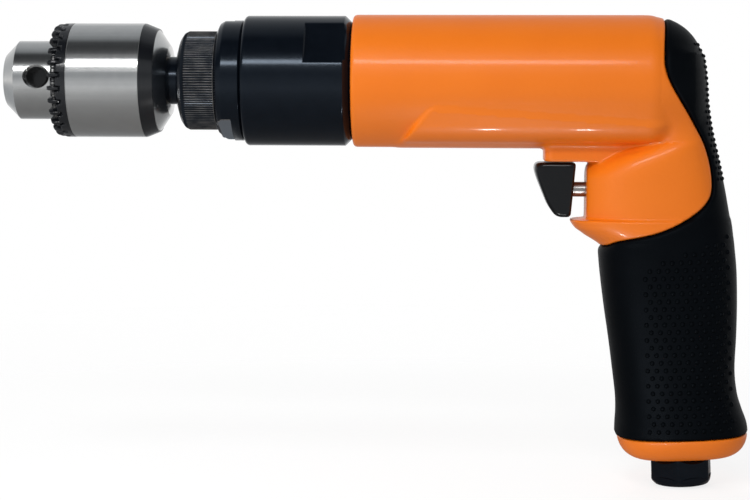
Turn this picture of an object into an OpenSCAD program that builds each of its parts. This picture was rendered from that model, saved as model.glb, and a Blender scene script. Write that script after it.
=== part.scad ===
// Air drill with a pistol grip and a keyed chuck, lengths in millimetres.
// X is the spindle axis: the origin is the centre of the chuck's nose face, +X runs to the back.
// +Z is up and the grip hangs down. Angles about X count from straight down towards +Y.

/* [Chuck] */
// Radius of the chuck nose
nose_r = 12.4; // [12:0.1:13]
// Length of the bevel on the nose
nose_bevel = 4; // [2:0.5:5]
// Distance from the nose face to the nut groove
nose_len = 17; // [16:0.5:18]
// Length of the whole chuck body
chuck_len = 52.3; // [50:0.1:56]
// Radius of the chuck body under the back of the sleeve
chuck_body_r = 15.9; // [15.5:0.05:16.6]
// Wall of the nut outside the jaws, at its back
nut_wall = 3.785; // [3.4:0.005:4.2]
// Length of the back cone of the chuck body
chuck_cone_len = 3.8; // [3:0.1:5]
// Width of the groove for the nut
nut_groove_w = 5; // [4:0.5:6]
// Floor radius of the groove for the nut
nut_groove_r = 9.8; // [9:0.1:10.5]
// Wall of the keyed sleeve
sleeve_wall = 1.8; // [1.4:0.1:2.6]
// Length of the sloped back of the sleeve
sleeve_bevel = 4.3; // [3:0.1:5]
// Length of the sloped toothed front of the sleeve
ring_slope_len = 3; // [2.5:0.1:3.5]
// Length of the sleeve front wall that stands before the nut
ring_wall = 2.4; // [2:0.1:2.6]
// Number of key teeth on the sleeve
ring_teeth = 26; // [20:1:30]
// Depth of the gaps between key teeth
ring_tooth_depth = 1.5; // [1:0.1:1.8]
// Width of a gap between key teeth at its mouth
ring_gap_w = 1.9; // [1.4:0.1:2]
// Radius of the key pilot holes
key_hole_r = 3.2; // [2.5:0.1:3.4]
// Distance from the nose face to the key pilot holes
key_hole_x = 11.3; // [10.5:0.1:12]
// Depth of the key pilot holes
key_hole_depth = 6; // [4:0.5:6]
// Chamfer at the mouth of the key pilot holes
key_chamfer = 0.6; // [0.3:0.1:0.9]
// Direction of the first key pilot hole
key_hole_angle = 265; // [0:5:360]
// Radius of a jaw
jaw_r = 3.2; // [3:0.05:3.3]
// Slope of the jaws to the spindle axis
jaw_slope = 15; // [14:0.5:16]
// Length of a jaw along its slope
jaw_len = 29; // [27:0.5:30]
// Radius that the jaws hold at rest
grip_r = 3; // [2.6:0.1:3.2]
// Length that the jaws hold at rest
jaw_hold = 12; // [11:0.5:13]
// Room behind the jaws, for opening
jaw_room = 8; // [7:0.5:9]
// Distance from the spindle axis to where the jaw flanks would meet
jaw_apex = 2.22; // [2.2:0.02:2.4]
// Radius of the bore between the jaws
chuck_bore_r = 5; // [4:0.1:5.5]
// Depth of the bore between the jaws
chuck_bore_len = 27; // [24:0.5:29]

/* [Spindle and bearings] */
// Radius of the thread that carries the chuck
spindle_thread_r = 4.7; // [4.4:0.05:4.9]
// Length of the thread in the chuck
spindle_thread_len = 18; // [14:0.5:20]
// Bore radius of the front spindle bearing
front_bore_r = 5; // [4.95:0.05:5.2]
// Outer radius of the front spindle bearing
front_race_r = 11; // [10.5:0.1:11.4]
// Bore radius of the rear spindle bearing
rear_bore_r = 6; // [5.6:0.1:6.4]
// Outer radius of the rear spindle bearing
rear_race_r = 12; // [11.4:0.1:12.6]
// Width of the spindle bearings
spindle_race_w = 6; // [5:0.5:6.5]
// Distance between the two spindle bearings
spindle_race_gap = 8.7; // [7:0.1:12]
// Radius of the collar between chuck and bearing
collar_r = 7.5; // [7:0.1:8]
// Thickness of the planet flanges
flange_t = 3.4; // [3:0.1:4]
// Rim of the planet flanges outside the pins
flange_rim = 2.2; // [1.8:0.1:2.4]
// Radius of the bore of both rotor bearings
rotor_bore_r = 3; // [2.8:0.1:3.2]
// Outer radius of the front rotor bearing
rotor_front_race_r = 9.5; // [9:0.1:10]
// Outer radius of the rear rotor bearing
rotor_rear_race_r = 6.5; // [6.2:0.1:7]
// Width of the rotor bearings
rotor_race_w = 6; // [5:0.5:6.5]

/* [Gears] */
// Gear module
gear_module = 0.65; // [0.62:0.01:0.68]
// Teeth on each sun and on each planet
sun_teeth = 15; // [15:6:21]
// Pressure angle
pressure_angle = 25; // [22:1:27]
// Thinning of each tooth flank, for backlash
flank_gap = 0.06; // [0.05:0.01:0.1]
// Width of the planets
planet_w = 7; // [6:0.5:8]
// Axial room on each side of a planet
planet_room = 0.6; // [0.4:0.1:1]
// Wall of the spacer behind the ring gear
spacer_wall = 2.4; // [1.8:0.1:2.6]
// Radius of the planet pins
pin_r = 1.5; // [1.2:0.1:1.7]
// Length of the drive pinion behind the planets
pinion_tail = 3; // [2:0.5:5]
// Rim of the ring gear outside its tooth roots
ring_rim = 1.55; // [1.2:0.05:2.5]

/* [Front end] */
// Gap between the chuck and the bearing cap
cap_gap = 1.7; // [1.2:0.1:3]
// Length of the bearing cap
cap_len = 12; // [11:0.1:14]
// Thickness of the front wall of the bearing cap
cap_front = 3.2; // [3:0.1:4]
// Wall of the bearing cap round its thread
cap_wall = 2.45; // [2:0.05:3]
// Wall of the front spigot round the front bearing
nose_spigot_wall = 2; // [1.5:0.1:2.4]
// Number of knurl ridges
knurl_count = 120; // [80:4:140]
// Depth of the knurl
knurl_depth = 0.3; // [0.2:0.05:0.4]
// Wall of the felt seal round the collar
seal_wall = 2; // [1.5:0.1:2.4]
// Length of the lock ring
lock_ring_len = 8.2; // [7:0.1:10]
// Step of the thread that carries the lock ring
lock_step = 2; // [1.6:0.1:2.4]
// Wall of the lock ring
lock_ring_wall = 3.85; // [3:0.05:4.5]
// Depth of the two flats on the lock ring
lock_flat_depth = 0.93; // [0.5:0.01:1.2]
// Length of the two flats on the lock ring
lock_flat_len = 5; // [4:0.1:6]
// Direction of the first flat on the lock ring
lock_flat_angle = 331; // [0:1:360]
// Wall of the gear case round the ring gear
case_wall = 3.4; // [3:0.1:4.5]
// Length of the gear case that shows
case_len = 35.6; // [35:0.1:40]
// Depth of the two flats on the gear case
case_flat_depth = 1.55; // [1:0.05:1.8]
// Length of the two flats on the gear case
case_flat_len = 13; // [10:0.5:16]
// Length of the bevel at the back of the gear case
case_bevel = 2.5; // [1.5:0.1:3]
// Distance from the flats to the back of the gear case
case_flat_back = 3.5; // [3:0.1:5]
// Direction of the first flat on the gear case
case_flat_angle = 231.4; // [0:0.1:360]
// Wall of the rear spigot of the gear case
spigot_wall = 1.35; // [1.2:0.05:1.6]
// Length of the rear spigot of the gear case
spigot_len = 7; // [6:0.5:9]

/* [Motor] */
// Length of the motor cylinder
cylinder_len = 48; // [44:1:52]
// Outer radius of the motor cylinder
cylinder_r = 17.45; // [17.2:0.05:17.8]
// Bore radius of the motor cylinder
chamber_r = 13.2; // [12.8:0.1:13.6]
// Radius of the rotor
rotor_r = 11.7; // [11:0.1:12]
// Running gap between rotor and cylinder at the tight side
rotor_gap = 0.1; // [0.08:0.01:0.2]
// Number of vanes
vane_count = 5; // [4:1:6]
// Thickness of a vane
vane_t = 1.6; // [1.2:0.1:2]
// Height of a vane
vane_h = 6.5; // [5:0.1:7]
// Thickness of the end plates
plate_t = 5; // [4.5:0.1:6]
// Wall of the end plates round the rotor bearings
plate_boss_wall = 2.2; // [2:0.1:2.4]
// Radius of the dowel that lines up plate and cylinder
dowel_r = 1.25; // [1:0.05:1.4]
// Depth of the air chamber behind the motor
air_chamber_len = 27; // [26:0.5:30]
// Wall outside the dowel
dowel_wall = 1.6; // [1:0.1:2]
// Wall between the rear bearing boss and the air chamber
air_chamber_room = 1.5; // [1:0.1:2]

/* [Housing] */
// Wall of the barrel round the gear case spigot
barrel_wall = 2.35; // [2.2:0.05:3]
// Length of the straight barrel
barrel_len = 87; // [85:0.5:92]
// Length of the rounded back of the barrel
dome_len = 24.5; // [22:0.5:26]
// Chamfer at the mouth of the barrel
mouth_chamfer = 1.2; // [0.5:0.1:1.6]
// Distance from the end of the straight barrel to the grip axis, at the spindle
grip_setback = 12.4; // [11:0.1:14]
// Slope of the grip axis, bottom to the back
grip_rake = 2.5; // [1:0.1:4]
// Thickness of the rubber
rubber_t = 2.4; // [2:0.1:2.8]
// Half width of the flat-sided belly under the barrel, at its top
belly_half_w = 18.9; // [18.5:0.1:19]
// Drop of the top of the belly
belly_top = 8; // [7.5:0.1:8.5]
// Half width of the belly at its lower corners
belly_low_half_w = 15.6; // [14.5:0.1:16]
// Drop of the lower corners of the belly
belly_drop = 18.4; // [17.5:0.1:19]
// Chamfer on the lower corners of the belly
belly_corner = 1.3; // [1:0.1:2.5]
// Distance from the barrel mouth to the front of the belly, at its bottom
belly_start = 14.1; // [13:0.1:18]
// Slope of the front of the belly
belly_slope = 39; // [30:0.5:45]

/* [Trigger and valve] */
// Drop of the throttle stem below the spindle axis
valve_drop = 33.8; // [33:0.1:34.5]
// Distance from the face behind the trigger to the grip axis, at the spindle
trigger_face = 26.2; // [25:0.1:27]
// Drop of the ledge above the trigger
ledge_drop = 25.1; // [24.5:0.1:25.5]
// Drop of the top of the finger lip
lip_drop = 42.9; // [42.5:0.1:43.5]
// Width of the trigger
trigger_w = 15; // [12:0.5:18]
// Travel of the trigger
trigger_travel = 3; // [2:0.1:3.2]
// Length of the trigger at its top
trigger_top_len = 11.6; // [11:0.1:13]
// Radius of the throttle stem
stem_r = 2.35; // [2.1:0.05:2.5]
// Radius of the valve bore
valve_bore_r = 5.5; // [5.3:0.1:5.8]
// Thickness of the wall that the stem runs through
stem_wall = 10.5; // [9:0.1:11.5]
// Length of the valve bushing
valve_bushing_len = 12; // [11:0.5:13]
// Length of the valve spring
spring_len = 9; // [8.5:0.1:10]
// Wire radius of the valve spring
spring_wire_r = 0.35; // [0.3:0.05:0.4]
// Turns of the valve spring
spring_turns = 5; // [4:1:6]
// Length of the valve plug
plug_len = 5.4; // [4:0.1:5.6]

/* [Grip base and inlet] */
// Length of the grip below the spindle axis
grip_len = 110.8; // [110:0.1:114]
// Half length of the base cap
base_half_len = 20.7; // [20:0.1:22]
// Half width of the base cap
base_half_w = 17.2; // [16.5:0.1:18]
// Height of the base cap
base_h = 7.3; // [6.5:0.1:8]
// Height of the bevel round the base cap
base_bevel = 2.6; // [2:0.1:3]
// Wall of the base cap
base_wall = 3; // [2.6:0.1:3.4]
// Width across the flats of the inlet hexagon
inlet_flats = 18; // [17.2:0.1:19]
// Height of the inlet hexagon
inlet_hex_h = 8.8; // [8:0.1:11]
// Radius of the inlet shank
inlet_shank_r = 8; // [7.6:0.1:8.2]
// Length of the inlet shank in the grip
inlet_shank_len = 12; // [10:0.5:16]
// Thickness of the inlet seal
inlet_seal_t = 1.2; // [0.8:0.1:1.6]
// Radius of the inlet thread
inlet_thread_r = 5.6; // [5.2:0.1:6]
// Depth of the inlet thread
inlet_thread_len = 15; // [12:0.5:18]
// Radius of the air passages in the grip
feed_r = 5; // [4:0.1:5.2]
// Radius of the exhaust passages
exhaust_r = 2.2; // [1.8:0.1:2.4]
// Distance of the exhaust passages from the middle plane
exhaust_side = 8.6; // [8.4:0.1:8.8]
// Drop of the exhaust passages below the spindle axis
exhaust_low = 12; // [11.8:0.1:12.2]
// Distance of the exhaust passages in the grip before its axis
exhaust_front = 8.9; // [8.5:0.1:9.3]
// Drop at which the exhaust passages turn into the grip
exhaust_bend = 56; // [54:0.5:60]
// Turn of the inlet hexagon
inlet_turn = 19; // [0:1:60]

/* [Hidden] */
$fn = 64;

// Radial clearance of parts that slide or screw together, and of parts that turn past each other
slip = 0.05;
turn_gap = 0.1;
// Clearance between rubber or soft seals and what they sit on
soft_gap = 0.1;
// Overrun of a cut past the surface that it opens
over = 1;
// Small chamfer on turned edges
edge = 0.6;
// Gap of pressed pins and seals, and gap between faces that stand apart
press = 0.01;
face_gap = 0.2;
// Thickness of a flat slice that a loft starts or ends with
slice = 0.01;

// Chuck details: gaps round the nut and the nose, back lip and back face of the body, lip of the sleeve
nut_gap = 0.15;
nut_split = 0.3;
nose_gap = 0.2;
back_lip = [1.5, 1];
back_rim = [3.5, 0.5];
back_land = 0.8;
sleeve_lip = 0.3;
jaw_half_angle = 60;
// Width of a key tooth gap at its floor and above its mouth, as parts of its width
gap_floor = 0.5;
gap_top = 1.4;

// Bearings: size of a ball and height of the lands as parts of the room, and how full the circle is
ball_part = 0.27;
land_part = 0.5;
ball_fill = 0.83;

// Spindle and carrier details: step before the flange, its height, sink of the pins, room round the flange
flange_step = 0.6;
flange_step_h = 1.5;
pin_sink = 0.3;
flange_room = 1;
race_shoulder = 2.5;

// Rounded fronts, as [drop from the rim, distance from the front]
cap_nose = [[2.2, 0.9], [0.9, 2]];
lock_nose = [[2.4, 0], [0.9, 0.7], [0, 2.2]];
case_nose = [[1.2, 0], [0.35, 0.35], [0, 1.2]];
// Flat front, clear hole and plain back end of the bearing cap, and the lip before its seal
cap_face = 3;
cap_clear = 0.5;
cap_margin = 1;
seal_lip = 1;

// Motor details: lips of the end plates, room round the shaft, reach and cover of the dowel, inlet slots
plate_lip = 2;
boss_lip = 1;
race_sink = 1;
shaft_room = 1.5;
dowel_reach = 8;
dowel_cover = 0.5;
slot_part = 0.4;
exhaust_run = 6;
exhaust_neck = 0.2;

// Valve details
seal_t = 0.9;
poppet_t = 2.6;
poppet_gap = 1;
packing_wall = 2;
packing_t = 2.2;
feed_up_back = 5;
feed_up_wall = 1;
bushing_guide = 2;
bushing_room = 1.3;
stem_tail = 3.5;
stem_tail_step = 0.7;
spring_room = 0.9;
spring_end_gap = 0.05;
spring_steps = 12;
wire_sides = 6;
plug_slot_w = 1.4;
plug_slot_h = 1.5;
plug_room = 4;

// Trigger details: gaps above, below and behind it, socket of the stem, and the pin
trigger_gap_top = 0.5;
trigger_gap_low = 0.6;
trigger_gap_back = 1.7;
trigger_heel = 2;
stem_socket = 4.5;
trigger_pin_r = 0.8;
trigger_pin_x = 3.2;
trigger_pin_sink = 1;

// Base and inlet details
base_boss_wall = 2;
vent_r = 1.2;
vent_out = 2.6;
vent_angles = [-40, -15, 15, 40];
inlet_chamfer = 1;
inlet_neck = 0.6;
screen_seat = 1.5;
screen_t = 1.1;
screen_hole_r = 0.5;
screen_pitch = 1.6;
screen_rings = 2;

// Three planets, jaws and key holes share the circle
thirds = [0, 120, 240];

// Gear sizes that follow from the module
gear_pitch_r = gear_module * sun_teeth / 2;
planet_centre = 2 * gear_pitch_r;
ring_tooth_count = 3 * sun_teeth;
ring_pitch_r = gear_module * ring_tooth_count / 2;
gear_root = 1.25 * gear_module;
ring_gear_r = ring_pitch_r + gear_root + ring_rim;
flange_r = planet_centre + pin_r + flange_rim;

// Stations along the spindle axis, from the chuck to the back of the motor
nut_back = nose_len + nut_groove_w - nut_gap;
jaw_zone_r = jaw_line(nut_back, 2) + nut_gap + nut_wall - slip;
jaw_zone_x = (jaw_len + jaw_room) * cos(jaw_slope) + jaw_r + edge;
sleeve_front = nose_len - ring_wall;
sleeve_back = chuck_len - chuck_cone_len;
sleeve_r = max(jaw_zone_r, chuck_body_r) + slip + sleeve_wall;
cap_x = chuck_len + cap_gap;
lock_x = cap_x + cap_len;
case_x = lock_x + lock_ring_len + face_gap;
housing_x = case_x + case_len;
front_race_x = cap_x + cap_front;
rear_race_x = front_race_x + spindle_race_w + spindle_race_gap;
flange_x = rear_race_x + spindle_race_w + flange_step;
second_planet_x = flange_x + flange_t + planet_room;
carrier_x = second_planet_x + planet_w + 2 * planet_room;
first_planet_x = carrier_x + flange_t + planet_room;
pinion_back = first_planet_x + planet_w + pinion_tail;
ring_gear_x = flange_x + flange_t;
ring_gear_back = first_planet_x + planet_w + planet_room;
plate_x = housing_x + spigot_len;
rotor_front_race_x = plate_x - rotor_race_w - plate_lip;
cylinder_x = plate_x + plate_t;
rear_plate_x = cylinder_x + cylinder_len;
chamber_x = rear_plate_x + plate_t;
rotor_rear_race_x = chamber_x - race_sink;
rear_boss_back = rotor_rear_race_x + rotor_race_w + boss_lip;
barrel_end = housing_x + barrel_len;

// Radii that follow from the walls
nose_spigot_r = front_race_r + slip + nose_spigot_wall;
cap_r = nose_spigot_r + slip + cap_wall;
lock_spigot_r = nose_spigot_r + lock_step;
lock_ring_r = lock_spigot_r + slip + lock_ring_wall;
case_bore_r = ring_gear_r + slip;
case_r = case_bore_r + case_wall;
spigot_r = case_bore_r + spigot_wall;
barrel_r = spigot_r + slip + barrel_wall;
motor_bore_r = cylinder_r + slip;
rear_boss_r = rotor_rear_race_r + plate_boss_wall;
air_chamber_r = rear_boss_r + air_chamber_room;
chamber_offset = chamber_r - rotor_r - rotor_gap;

// Grip axis, and the stations of the valve along the throttle stem
grip_x = barrel_end + grip_setback;
face_x = grip_x - trigger_face;
valve_x = face_x + stem_wall;
seat_x = valve_x + valve_bushing_len;
poppet_x = seat_x + seal_t;
spring_x = poppet_x + poppet_t;
plug_x = spring_x + spring_len;
poppet_r = valve_bore_r - poppet_gap;
packing_r = stem_r + packing_wall;
feed_up_x = valve_x + feed_up_back;

// Base of the grip
base_top = grip_len + face_gap;
base_bottom = base_top + base_h;
inlet_end = base_bottom + inlet_hex_h;
shank_top = base_top - inlet_shank_len;
base_cavity_h = base_h - base_bevel;
base_boss_r = inlet_shank_r + slip + base_boss_wall;

// Grip sections round the trigger: drop below the spindle axis, reach to the front, to the back, half width
upper_sections = [
    [2, 40, 12, 18],
    [14, 40, 13.3, 17.5],
    [25, 39, 15.4, 16.8],
    [34, 36, 16.6, 16.4],
    [43, 32.9, 17.8, 16.1],
    [46, 31, 18.1, 16.1],
    [48.5, 28, 18.3, 16],
    [50.3, 24.8, 18.5, 16]];
// Grip sections below them, with the part of the way from there to the bottom of the grip
lower_sections = [
    [0.16, 23.8, 18.9, 15.8],
    [0.325, 23.1, 18.7, 15.6],
    [0.49, 22.3, 18, 15.5],
    [0.67, 21.5, 17.1, 15.5],
    [0.79, 21.1, 17.4, 15.7],
    [0.87, 21.1, 18.5, 16.1],
    [0.945, 21.4, 20, 16.8],
    [1, 21.5, 20.4, 17.2]];
lower_start = upper_sections[len(upper_sections) - 1][0];
grip_sections = concat(upper_sections, [for (s = lower_sections)
    [lower_start + s[0] * (grip_len - lower_start), s[1], s[2], s[3]]]);
// Points round one grip section, and the power of its rounded outline
section_points = 32;
section_power = 2.5;
// Depth of the ridge of the belly inside the barrel
belly_sink = 0.4;
// Steps along the rounded back of the barrel
dome_steps = 12;

// Edge of the rubber on the side of the tool, as [distance behind the grip axis at the spindle, height]
rubber_edge = [[-1.4, 26], [-3.6, 10], [-2.6, 1], [5.1, -11.5], [9.8, -20], [12, -29], [11.2, -36],
    [5.2, -41.8], [-4.4, -46.4], [-16.4, -49.3], [-21.8, -51.4], [-39.4, -54]];
rubber_edge_steps = 3;

// Outline of the trigger from the side, as [distance before its back edge at the top, drop]
trigger_top = ledge_drop + trigger_gap_top;
trigger_low = lip_drop - trigger_gap_low;
trigger_back_x = face_x - trigger_travel - trigger_gap_back;
trigger_profile = [
    [trigger_top_len - 1.6, trigger_top],
    [0.6, trigger_top],
    [0, trigger_top + 1],
    [-1.3, trigger_low - 1.5],
    [-0.6, trigger_low],
    [4.4, trigger_low],
    [6, trigger_low - 1.6],
    [9.8, trigger_top + 6.5],
    [trigger_top_len, trigger_top + 2]];
trigger_corner = 4;

// Distance of a jaw from the spindle axis at x: of its inside (n = 0), its middle (1) or its outside (2)
function jaw_line(x, n) = grip_r + n * jaw_r / cos(jaw_slope) + (x - jaw_hold) * tan(jaw_slope);
// Points of a rounded front on a rim at x
function nose(pts, r, x) = [for (p = pts) [r - p[0], x + p[1]]];
// A signed power, for rounded outlines
function spow(v, p) = sign(v) * pow(abs(v), p);
// Rounded outline between two reaches along the first axis, with a half width
function oval(front, back, half, count) = [for (i = [0 : count - 1])
    let (a = 360 * (i + 0.5) / count)
    [(back - front) / 2 + (front + back) / 2 * spow(cos(a), 2 / section_power),
     half * spow(sin(a), 2 / section_power)]];
// Point on a smooth curve through four points, between the middle two
function curve_point(a, b, c, d, t) = 0.5 * (2 * b + (c - a) * t + (2 * a - 5 * b + 4 * c - d) * t * t
    + (3 * b - a - 3 * c + d) * t * t * t);
// Smooth curve through a list of points
function smooth(pts, steps) = let (last = len(pts) - 1)
    concat([for (i = [0 : last - 1], s = [0 : steps - 1])
        curve_point(pts[max(i - 1, 0)], pts[i], pts[i + 1], pts[min(i + 2, last)], s / steps)], [pts[last]]);
// Angle between a gear tooth's middle and its flank at a radius
function involute(a) = tan(a) * 180 / PI - a;
function flank_angle(teeth, r, thinning) =
    let (pitch = gear_module * teeth / 2, base = pitch * cos(pressure_angle))
    90 / teeth - thinning / pitch * 180 / PI + involute(pressure_angle)
    - involute(acos(min(1, base / max(r, base))));
// Outline of a gear with straight tooth tips, with its first tooth on the first axis
function gear_outline(teeth, add, ded, thinning) =
    let (pitch = gear_module * teeth / 2, low = pitch - ded, high = pitch + add, steps = 4)
    [for (k = [0 : teeth - 1], side = [-1, 1], s = [0 : steps])
        let (f = side < 0 ? s / steps : 1 - s / steps,
             r = low + (high - low) * f,
             a = 360 * k / teeth + side * flank_angle(teeth, r, thinning))
        [r * cos(a), r * sin(a)]];

// A body turned about the spindle axis, from points [radius, x]
module turned(pts) {
    rotate([0, 90, 0])
        rotate_extrude()
            polygon(pts);
}

// A round bar along the spindle direction
module bar(x0, x1, r) {
    translate([x0, 0, 0])
        rotate([0, 90, 0])
            cylinder(h = x1 - x0, r = r);
}

// A tube along the spindle direction
module tube(x0, x1, r_in, r_out) {
    turned([[r_in, x0], [r_out, x0], [r_out, x1], [r_in, x1]]);
}

// A flat outline drawn out along the spindle direction, its first axis pointing down
module drawn(x0, x1) {
    translate([x0, 0, 0])
        rotate([0, 90, 0])
            linear_extrude(x1 - x0)
                children();
}

// Moves a child out from the spindle axis in a direction
module polar(a, d) {
    rotate([a, 0, 0])
        translate([0, 0, -d])
            children();
}

// The frame of the grip: its own vertical is the grip axis
module grip_frame() {
    translate([grip_x, 0, 0])
        rotate([0, -grip_rake, 0])
            children();
}

// A round bore or bar along the grip axis between two drops
module grip_bar(top, bottom, r) {
    translate([0, 0, -bottom])
        cylinder(h = bottom - top, r = r);
}

// A line of bar between two points
module link(a, b, r) {
    d = b - a;
    translate(a)
        rotate([0, acos(d[2] / norm(d)), atan2(d[1], d[0])])
            cylinder(h = norm(d), r = r);
}

// Ball bearing pieces, for a bearing at x of width w
function race_pitch(r_in, r_out) = (r_in + r_out) / 2;
function ball_r(r_in, r_out) = (r_out - r_in) * ball_part;

module race_groove(x, w, r_in, r_out) {
    translate([x + w / 2, 0, 0])
        rotate([0, 90, 0])
            rotate_extrude()
                translate([race_pitch(r_in, r_out), 0])
                    circle(r = ball_r(r_in, r_out) + slip);
}

module inner_race(x, w, r_in, r_out) {
    land = race_pitch(r_in, r_out) - ball_r(r_in, r_out) * land_part;
    color("silver")
        difference() {
            tube(x, x + w, r_in + slip, land);
            race_groove(x, w, r_in, r_out);
        }
}

module outer_race(x, w, r_in, r_out) {
    land = race_pitch(r_in, r_out) + ball_r(r_in, r_out) * land_part;
    color("silver")
        difference() {
            tube(x, x + w, land, r_out);
            race_groove(x, w, r_in, r_out);
        }
}

module ball_set(x, w, r_in, r_out) {
    count = floor(180 * ball_fill / asin(ball_r(r_in, r_out) / race_pitch(r_in, r_out)));
    color("lightgray")
        for (i = [0 : count - 1])
            polar(360 * i / count, race_pitch(r_in, r_out))
                translate([x + w / 2, 0, 0])
                    sphere(r = ball_r(r_in, r_out), $fn = 32);
}

// Chuck

module jaw_bar(r, from, to) {
    translate([0, 0, -jaw_line(0, 1)])
        rotate([0, 90 + jaw_slope, 0])
            translate([0, 0, from])
                cylinder(h = to - from, r = r);
}

module jaw(a) {
    flank = 4 * jaw_r;
    color("silver")
        rotate([a, 0, 0])
            difference() {
                intersection() {
                    jaw_bar(jaw_r, -jaw_r, jaw_len);
                    drawn(0, jaw_len)
                        polygon([[jaw_apex, 0],
                            [jaw_apex + flank * cos(jaw_half_angle), flank * sin(jaw_half_angle)],
                            [jaw_apex + flank * cos(jaw_half_angle), -flank * sin(jaw_half_angle)]]);
                }
                bar(-over, jaw_len, grip_r);
            }
}

module chuck_body() {
    groove_end = nose_len + nut_groove_w;
    thread_x = chuck_len - spindle_thread_len;
    key_cone = nose_r - sqrt(nose_r * nose_r - key_hole_r * key_hole_r) + key_chamfer;
    color("lightgray")
        difference() {
            turned([[0, 0], [nose_r - nose_bevel, 0], [nose_r, nose_bevel], [nose_r, nose_len],
                [nut_groove_r, nose_len], [nut_groove_r, groove_end], [jaw_zone_r, groove_end],
                [jaw_zone_r, jaw_zone_x], [chuck_body_r, jaw_zone_x],
                [chuck_body_r, sleeve_back], [chuck_body_r - back_lip[0], sleeve_back + back_lip[1]],
                [collar_r + back_rim[0], chuck_len - back_rim[1]], [collar_r + back_land, chuck_len],
                [0, chuck_len]]);
            bar(-over, chuck_bore_len, chuck_bore_r);
            bar(thread_x, chuck_len + over, spindle_thread_r + slip);
            for (a = thirds) {
                rotate([key_hole_angle + 60 + a, 0, 0])
                    jaw_bar(jaw_r + slip, -4 * jaw_r, jaw_len + jaw_room);
                polar(key_hole_angle + a, nose_r - key_hole_depth)
                    translate([key_hole_x, 0, -key_hole_depth - over])
                        cylinder(h = key_hole_depth + over, r = key_hole_r);
                polar(key_hole_angle + a, nose_r)
                    translate([key_hole_x, 0, -over])
                        cylinder(h = over + key_cone, r1 = key_hole_r + key_cone + over, r2 = key_hole_r);
            }
        }
}

module chuck_sleeve() {
    front_r = nose_r + nose_gap;
    ring_x = sleeve_front + ring_slope_len;
    slope = atan2(sleeve_r - front_r, ring_slope_len);
    slope_len = norm([sleeve_r - front_r, ring_slope_len]);
    floor_half = ring_gap_w * gap_floor / 2;
    top_half = ring_gap_w * gap_top / 2;
    color("gainsboro")
        difference() {
            turned([[front_r, sleeve_front], [sleeve_r, ring_x],
                [sleeve_r, sleeve_back - sleeve_bevel], [chuck_body_r + slip + sleeve_lip, sleeve_back],
                [chuck_body_r + slip, sleeve_back], [chuck_body_r + slip, jaw_zone_x + face_gap],
                [jaw_zone_r + slip, jaw_zone_x + face_gap], [jaw_zone_r + slip, nose_len + slip],
                [front_r, nose_len + slip]]);
            for (i = [0 : ring_teeth - 1])
                polar(360 * i / ring_teeth + key_hole_angle, front_r)
                    translate([sleeve_front, 0, 0])
                        rotate([0, 90 + slope, 0])
                            translate([0, 0, -over])
                                linear_extrude(slope_len + 2 * over)
                                    polygon([[ring_tooth_depth, -floor_half],
                                        [ring_tooth_depth, floor_half],
                                        [-over, top_half], [-over, -top_half]]);
        }
}

module chuck_nut() {
    front = nose_len + nut_gap;
    color("silver")
        difference() {
            turned([[jaw_line(front, 2) + nut_gap, front], [jaw_zone_r + slip, front],
                [jaw_zone_r + slip, nut_back], [jaw_line(nut_back, 2) + nut_gap, nut_back]]);
            translate([front - over, -2 * jaw_zone_r, -nut_split / 2])
                cube([nut_groove_w + 2 * over, 4 * jaw_zone_r, nut_split]);
        }
}

// Spindle and its bearings

module spindle_collar() {
    color("dimgray")
        tube(chuck_len, front_race_x, front_bore_r + slip, collar_r);
}

module spindle() {
    thread_x = chuck_len - spindle_thread_len + edge;
    step_x = front_race_x + spindle_race_w;
    step_r = rear_bore_r + flange_step_h;
    color("gray")
        difference() {
            turned([[0, thread_x], [spindle_thread_r - edge, thread_x],
                [spindle_thread_r, thread_x + edge], [spindle_thread_r, chuck_len],
                [front_bore_r, chuck_len], [front_bore_r, step_x], [rear_bore_r, step_x],
                [rear_bore_r, flange_x - flange_step], [step_r, flange_x - flange_step],
                [step_r, flange_x], [flange_r, flange_x],
                [flange_r, flange_x + flange_t], [0, flange_x + flange_t]]);
            planet_pins(flange_x, press);
        }
}

// Three pins that start in a flange and carry planets behind it
module planet_pins(x, grow) {
    back = x + flange_t + planet_w + 2 * planet_room;
    for (a = thirds)
        polar(a, planet_centre)
            bar(x + pin_sink, back - pin_sink, pin_r + grow);
}

module planet(x, a) {
    color("darkgray")
        polar(a, planet_centre)
            difference() {
                drawn(x, x + planet_w)
                    polygon(gear_outline(sun_teeth, gear_module, gear_root, flank_gap));
                bar(x - over, x + planet_w + over, pin_r + turn_gap / 2);
            }
}

module sun(x0, x1) {
    drawn(x0, x1)
        polygon(gear_outline(sun_teeth, gear_module, gear_root, flank_gap));
}

module first_carrier() {
    color("gray")
        difference() {
            union() {
                bar(carrier_x, carrier_x + flange_t, flange_r);
                sun(second_planet_x, carrier_x);
            }
            planet_pins(carrier_x, press);
        }
}

module drive_pinion() {
    color("darkgray")
        difference() {
            sun(first_planet_x, pinion_back);
            bar(first_planet_x - over, pinion_back + over, rotor_bore_r);
        }
}

module ring_gear() {
    outline = gear_outline(ring_tooth_count, gear_root, gear_module, -flank_gap);
    color("darkgray")
        drawn(ring_gear_x, ring_gear_back)
            difference() {
                circle(r = ring_gear_r);
                polygon(outline);
            }
}

// Front end

module gear_spacer() {
    color("silver")
        tube(ring_gear_back, plate_x, ring_gear_r - spacer_wall, ring_gear_r);
}

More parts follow.
